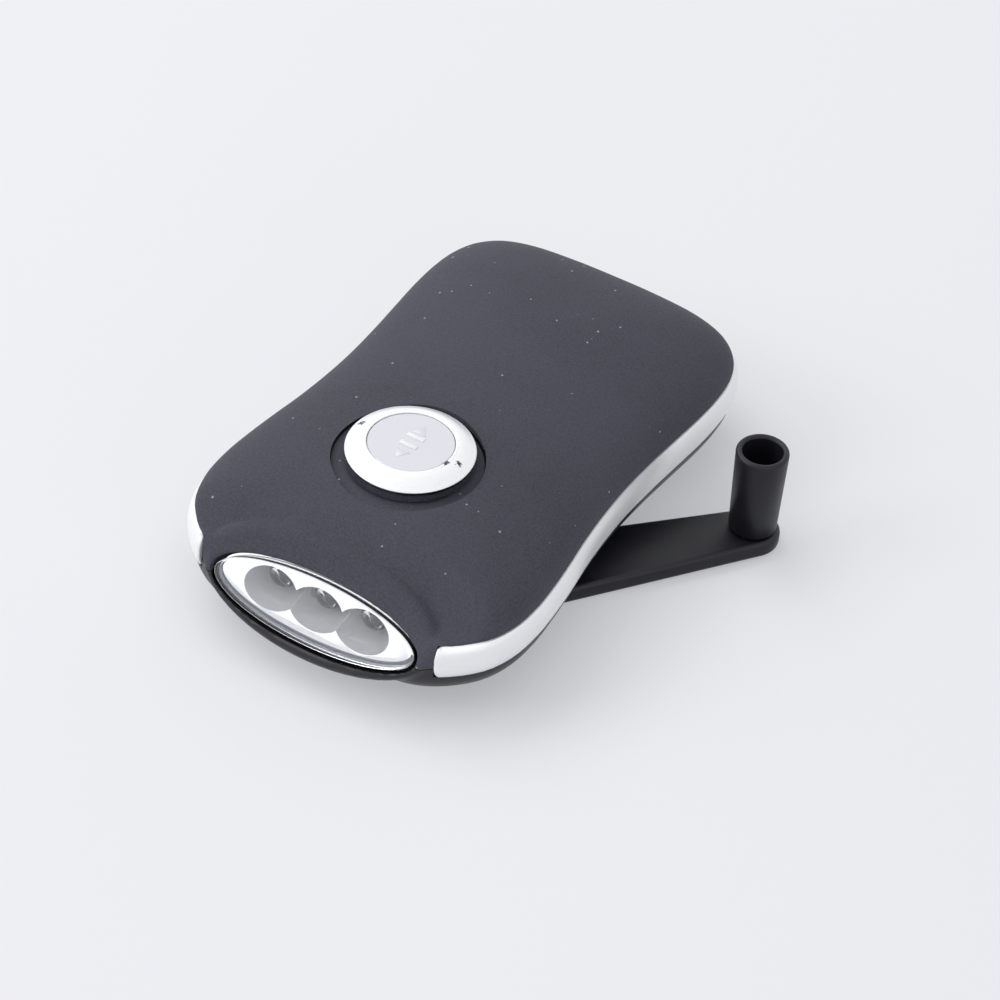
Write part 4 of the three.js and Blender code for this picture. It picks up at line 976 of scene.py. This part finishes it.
def reflector_block():
    """Bar behind the lens with three cups that run into each other, in a flange as large as the lens."""
    front = -LENS_INSET - LENS_THICKNESS - REFLECTOR_GAP
    rim = [v - FLANGE_GAP for v in (LENS_HALF_WIDTH, LENS_ABOVE, LENS_HALF_HEIGHT)]
    bead = [v - FLANGE_BEAD for v in rim]
    groove = [v - FLANGE_LIP for v in bead]
    flange = loft([
        oval(*rim, front - FLANGE_THICKNESS), oval(*rim, front - FLANGE_LIP), oval(*bead, front - FLANGE_LIP),
        oval(*groove, front - FLANGE_GROOVE), oval(*FLANGE_FRONT, front),
    ])
    bar = carved(level_bar(0, REFLECTOR_BACK), before_face(front - FLANGE_THICKNESS / 2))
    bm = carved(carved(bar, flange, operation="UNION"), *(cup_tool(x) for x in cup_places()))
    outward = FACE.to_3x3() @ Vector((0, 0, 1))
    # Faces that lean partly out of the lens, in the flange's sloping groove, take the greyer painted shade
    least, most = GROOVE_FACING
    for face in bm.faces:
        facing = face.normal.dot(outward)
        if in_a_cup(face.calc_center_median()) and facing < CUP_FACING_MOST:
            face.material_index = 1
        elif least < facing < most:
            face.material_index = 2
    rounded(bm, [e for e in bm.edges if on_a_ridge(e)], RIDGE_ROUND, 2, material=3)
    return bm


def led_body():
    """Round LED with a flange at its foot and a domed end."""
    dome = arc((0, LED_LENGTH - LED_RADIUS), LED_RADIUS, 0, 90, 12)
    flange = [(0, 0), (LED_FLANGE, 0), (LED_FLANGE, LED_FLANGE_THICKNESS), (LED_RADIUS, LED_FLANGE_THICKNESS)]
    return turned([*flange, *dome[:-1], (0, LED_LENGTH)], 48)


def led_lead_frame():
    """The two posts of the lead frame, the wider one with the small cup that holds the chip."""
    posts = [block(*LED_ANVIL, LED_POST_EDGE), block(*LED_POST, LED_POST_EDGE)]
    return joined(*posts, in_led_cup(LED_CUP))


def in_led_cup(profile):
    return moved(turned(profile, 24), Matrix.Translation((LED_CUP_X, 0, 0)))


def in_led(bm, x):
    return along_lens(bm, x, LED_BACK)


fit(piece("lens_plate", lens_plate(), LENS_CLEAR, LENS_SIDE_PAINTED_SHADE), "housing", "clear_plastic", "lens")
REFLECTOR_FINISHES = (MIRROR, CUP_MIRROR, GROOVE_PAINTED_SHADE, RIDGE_MIRROR)
reflector = piece("reflector_shell", reflector_block(), *REFLECTOR_FINISHES, sharp=30)
fit(reflector, "housing", "reflector_plating", "reflector")
for i, cup_x in enumerate(cup_places(), 1):
    fit(piece(f"led_dome_{i}", in_led(led_body(), cup_x), EPOXY), "housing", "clear_plastic", f"led_{i}")
    fit(piece(f"led_lead_frame_{i}", in_led(led_lead_frame(), cup_x), STEEL), "housing", "steel")
    fit(piece(f"led_chip_{i}", in_led(in_led_cup(LED_CHIP), cup_x), PHOSPHOR), "housing", "clear_plastic")


# Switch
def button_ring():
    """Plated button: a ring that falls from the disc's seat out to its rim, with a small lip inside."""
    rim = BUTTON_RADIUS
    seat = DISC_RADIUS + DISC_GAP
    inner, outer = seat + BUTTON_LIP_WIDTH, rim - BUTTON_EDGE_ROUND
    edge = BUTTON_TOP - BUTTON_FALL
    side_top = edge - BUTTON_EDGE_DROP
    crown = []
    for i in range(10):
        rise = (BUTTON_FALL - BUTTON_CROWN_DROP) * (1 - (1 - i / 9) ** BUTTON_CROWN_POWER)
        crown.append((outer + (inner - outer) * i / 9, edge + rise))
    groove_outer, groove_inner, groove_depth = BUTTON_LIP_GROOVE
    lip_outer, lip_inner = BUTTON_LIP_TOP
    profile = [
        (0, BUTTON_LOW), (rim - BUTTON_FOOT_EDGE, BUTTON_LOW), (rim, BUTTON_LOW + BUTTON_FOOT_EDGE),
        (rim, side_top), *arc((outer, side_top), BUTTON_EDGE_ROUND, 10, 50, 4), *crown,
        (seat + groove_outer, BUTTON_TOP - groove_depth), (seat + groove_inner, BUTTON_TOP - groove_depth),
        (seat + lip_outer, BUTTON_TOP), (seat + lip_inner, BUTTON_TOP), (seat, BUTTON_TOP - BUTTON_LIP_EDGE),
        (seat, BUTTON_TOP - DISC_SEAT), (0, BUTTON_TOP - DISC_SEAT),
    ]
    stem_top = BUTTON_LOW + STEM_ROOT
    stem = block((-STEM_HALF, -STEM_HALF, STEM_LOW), (STEM_HALF, STEM_HALF, stem_top), STEM_EDGE)
    bm = moved(joined(turned(profile, 128), stem), Matrix.Translation((0, SWITCH_Y, 0)))
    for face in bm.faces:
        low_enough = face.calc_center_median().z < edge - BUTTON_SIDE_TOP
        if low_enough and abs(face.normal.z) < BUTTON_SIDE_LEAN:
            face.material_index = 1
    return bm


def icon_arrow(side, top):
    corners = [(-ARROW_HALF, 0), (ARROW_HALF, 0), (0, ARROW_HEIGHT)]
    levels = (top - ICON_ROOT, top + ARROW_RISE)
    bm = loft([[Vector((x, side * (ARROW_PLACE + y), level)) for x, y in corners] for level in levels])
    rounded(bm, bm.edges, ICON_EDGE, 2)
    return bm


def disc_face():
    """Flat disc with two low arrows, one to the front and one to the rear."""
    top = BUTTON_TOP - DISC_SINK
    profile = [
        (0, top - DISC_DEPTH), (DISC_RADIUS, top - DISC_DEPTH), (DISC_RADIUS, top - DISC_EDGE),
        (DISC_RADIUS - DISC_EDGE, top), (0, top),
    ]
    arrows = [icon_arrow(side, top) for side in (1, -1)]
    return moved(joined(turned(profile, 128), *arrows), Matrix.Translation((0, SWITCH_Y, 0)))


def disc_bars():
    """The two raised bars between the arrows, printed white."""
    top = BUTTON_TOP - DISC_SINK
    half = BAR_LENGTH / 2
    bars = []
    for y in (-BAR_SPACING / 2, BAR_SPACING / 2):
        low = (-half, y - BAR_WIDTH / 2, top - ICON_ROOT)
        bars.append(block(low, (half, y + BAR_WIDTH / 2, top + ICON_RISE), ICON_EDGE))
    return moved(joined(*bars), Matrix.Translation((0, SWITCH_Y + BARS_SHIFT, 0)))


button = piece("button_rim", button_ring(), BUTTON_SILVER, SIDE_SILVER)
fit(button, "switch", "silver_plating", "switch_button")
fit(piece("button_disc", disc_face(), SATIN), "switch", "satin_silver", "switch_disc")
fit(piece("button_bars", disc_bars(), WHITE_PAINT), "switch", "satin_silver")


# Crank
ALONG_ARM = Matrix.Rotation(math.radians(ARM_ANGLE), 4, "Z")


def arm_outline(level):
    """The arm from above, along +X: a notch for the hub's ear, straight tapering sides and a round end."""
    lean = math.asin((ARM_HUB_HALF - ARM_END_RADIUS) / (ARM_REACH - ARM_HUB_LENGTH))
    heel = -PIN_BACK - ARM_THICKNESS / 2
    notch = EAR_HALF + CLEARANCE
    deep = -PIN_BACK + EAR_RADIUS + EAR_ROOM
    start, end = -QUARTER + lean, QUARTER - lean
    turns = [start + (end - start) * i / 24 for i in range(25)]
    tip = [(ARM_REACH + ARM_END_RADIUS * math.cos(t), ARM_END_RADIUS * math.sin(t)) for t in turns]
    places = [
        (heel, -notch), (heel, -ARM_HUB_HALF), (ARM_HUB_LENGTH, -ARM_HUB_HALF), *tip,
        (ARM_HUB_LENGTH, ARM_HUB_HALF), (heel, ARM_HUB_HALF), (heel, notch), (deep, notch), (deep, -notch),
    ]
    return [Vector((x, y, level)) for x, y in places]


def is_level(edge):
    return abs(edge.verts[0].co.z - edge.verts[1].co.z) < NEAR


def arm_form():
    """Flat arm whose heel turns round the fold pin, its other upper and lower edges rounded."""
    bm = loft([arm_outline(0), arm_outline(ARM_THICKNESS)])
    heel = -PIN_BACK - ARM_THICKNESS / 2
    back = [e for e in bm.edges if is_level(e) and all(abs(v.co.x - heel) < NEAR for v in e.verts)]
    rounded(bm, back, ARM_THICKNESS / 2 - ARM_HEEL_FLAT, 8)
    rim = []
    for edge in bm.edges:
        beyond_pin = min(v.co.x for v in edge.verts) > -PIN_BACK + ARM_RIM_START
        if edge.calc_face_angle(0) > ARM_RIM_TURN and beyond_pin and is_level(edge):
            rim.append(edge)
    rounded(bm, rim, ARM_ROUND, 4)
    return moved(bm, ALONG_ARM)


def hub_form():
    """Disc over the arm, with an ear down to the fold pin and the ear's barrel round it."""
    disc = turned([
        (0, HUB_LOW), (HUB_RADIUS - HUB_EDGE, HUB_LOW), (HUB_RADIUS, HUB_LOW + HUB_EDGE),
        (HUB_RADIUS, HUB_TOP), (0, HUB_TOP),
    ])
    middle = ARM_THICKNESS / 2
    low = (-PIN_BACK - EAR_RADIUS, -EAR_HALF, middle)
    ear = block(low, (-PIN_BACK + EAR_RADIUS, EAR_HALF, HUB_LOW + EAR_ROOT))
    across = Matrix.Translation((-PIN_BACK, 0, middle)) @ Matrix.Rotation(QUARTER, 4, "X")
    barrel = moved(rod(EAR_RADIUS, -EAR_HALF, EAR_HALF), across)
    return moved(joined(disc, ear, barrel), ALONG_ARM)


def knob_form():
    """Hollow knob with a slight draft, a rounded rim and a web that its screw holds."""
    rim = (KNOB_TOP_RADIUS - KNOB_BORE) / 2
    crest = KNOB_TOP - rim
    profile = [
        (0, KNOB_LOW), (KNOB_BASE_RADIUS - KNOB_FOOT_EDGE, KNOB_LOW),
        (KNOB_BASE_RADIUS, KNOB_LOW + KNOB_FOOT_EDGE), *arc((KNOB_BORE + rim, crest), rim, 0, 180, 10),
        (KNOB_BORE, KNOB_WEB_TOP + KNOB_WEB_EDGE), (KNOB_BORE - KNOB_WEB_EDGE, KNOB_WEB_TOP),
        (0, KNOB_WEB_TOP),
    ]
    return moved(turned(profile), ALONG_ARM @ Matrix.Translation((ARM_REACH, 0, 0)))


def screw_form(radius, height, shank_radius, length):
    """Pan head screw, head up with its shank below the origin's level, and a cross recess in the head."""
    tip = [(0, -length), (shank_radius * SCREW_TIP_SHARE, -length), (shank_radius, -length + SCREW_TIP)]
    head = [(radius * across, height * up) for across, up in HEAD_SHARES]
    long_share, wide_share, deep_share = CROSS_SHARES
    arm, half, deep = radius * long_share, radius * wide_share, height * deep_share
    slots = [block((-x, -y, deep), (x, y, height * 2)) for x, y in ((arm, half), (half, arm))]
    return carved(turned([*tip, (shank_radius, 0), *head], 40), *slots)


fit(piece("arm_shell", arm_form(), BLACK, sharp=30), "crank_arm", "matte_black", "crank_arm")
fit(piece("hub_shell", hub_form(), BLACK), "crank_hub", "matte_black", "crank_hub")
fit(piece("knob_shell", knob_form(), BLACK, sharp=50), "knob", "matte_black", "crank_knob")
in_knob = ALONG_ARM @ Matrix.Translation((ARM_REACH, 0, KNOB_WEB_TOP + SCREW_GAP))
knob_screw = moved(screw_form(*KNOB_SCREW), in_knob)
fit(piece("knob_screw_head", knob_screw, STEEL), "crank_arm", "steel", "knob_screw")
for i, (screw_x, screw_y) in enumerate(screw_places(), 1):
    seat = Matrix.Translation((screw_x, screw_y, SCREW_SEAT - SCREW_GAP))
    case_screw = screw_form(SCREW_HEAD_RADIUS, SCREW_HEAD_HEIGHT, SCREW_SHANK_RADIUS, SCREW_LENGTH)
    case_screw = moved(case_screw, seat @ Matrix.Rotation(math.pi, 4, "X"))
    fit(piece(f"case_screw_head_{i}", case_screw, STEEL), "housing", "steel", f"case_screw_{i}")


# Floor, light and camera
def floor_finish():
    """White translucent acrylic: even and matt, and lit a little from below, so shadows stay pale."""
    material, tree = blank("white_table")
    where = add(tree, "ShaderNodeTexCoord").outputs["Object"]
    cloud = noise(tree, where, size=240)
    tone = mix(tree, cloud, linear("#c8c8cb"), linear("#cbcbce"))
    shade(tree, {
        "Base Color": tone, "Roughness": 0.7, "IOR": 1.1,
        "Emission Color": linear("#f6f7fb"), "Emission Strength": TABLE_GLOW,
    })
    return material


def studio_world():
    """A pale world, brighter to the camera and in mirrors and glass than on the object."""
    world = bpy.data.worlds.new("studio")
    world.use_nodes = True
    tree = world.node_tree
    tree.nodes.clear()
    rays = add(tree, "ShaderNodeLightPath").outputs
    mirrored = maths(tree, "MAXIMUM", rays["Is Glossy Ray"], rays["Is Transmission Ray"])
    level = ramp(tree, rays["Is Camera Ray"], 0, 1, WORLD_LIGHT, WORLD_SEEN)
    level = maths(tree, "ADD", level, maths(tree, "MULTIPLY", mirrored, WORLD_MIRRORED))
    sky = add(tree, "ShaderNodeBackground", {"Color": linear("#f7f8fb"), "Strength": level})
    add(tree, "ShaderNodeOutputWorld", {"Surface": sky.outputs[0]})
    return world


def softbox(name, place, size, power):
    """A soft rectangular lamp that faces the object."""
    light = bpy.data.lights.new(name, "AREA")
    light.shape = "RECTANGLE"
    light.size, light.size_y = size
    light.energy = power
    obj = bpy.data.objects.new(name, light)
    obj.location = place
    obj.rotation_euler = (Vector(LIT_PLACE) - Vector(place)).to_track_quat("-Z", "Y").to_euler()
    bpy.context.scene.collection.objects.link(obj)


def camera_matrix():
    """The camera's place and turn: azimuth and elevation first, then the roll about its own line of sight."""
    azimuth, elevation, roll = (math.radians(v) for v in (CAMERA_AZIMUTH, CAMERA_ELEVATION, CAMERA_ROLL))
    side = Vector((math.cos(azimuth), math.sin(azimuth), 0))
    level = math.cos(elevation)
    back = Vector((math.sin(azimuth) * level, -math.cos(azimuth) * level, math.sin(elevation)))
    upward = back.cross(side)
    right = math.cos(roll) * side + math.sin(roll) * upward
    above = -math.sin(roll) * side + math.cos(roll) * upward
    return Matrix.Translation(CAMERA_PLACE) @ Matrix((right, above, back)).transposed().to_4x4()


floor_form = bmesh.new()
bmesh.ops.create_grid(floor_form, x_segments=1, y_segments=1, size=TABLE_REACH)
floor = piece("table", floor_form, floor_finish())

scene = bpy.context.scene
scene.world = studio_world()
for name, (place, size, power) in SOFTBOXES.items():
    softbox(name, place, size, power)

camera_data = bpy.data.cameras.new("camera")
camera_data.lens = CAMERA_LENS
camera_data.sensor_width = CAMERA_SENSOR
camera = bpy.data.objects.new("camera", camera_data)
camera.matrix_world = camera_matrix()
scene.collection.objects.link(camera)
scene.camera = camera
scene.view_settings.view_transform = "Standard"
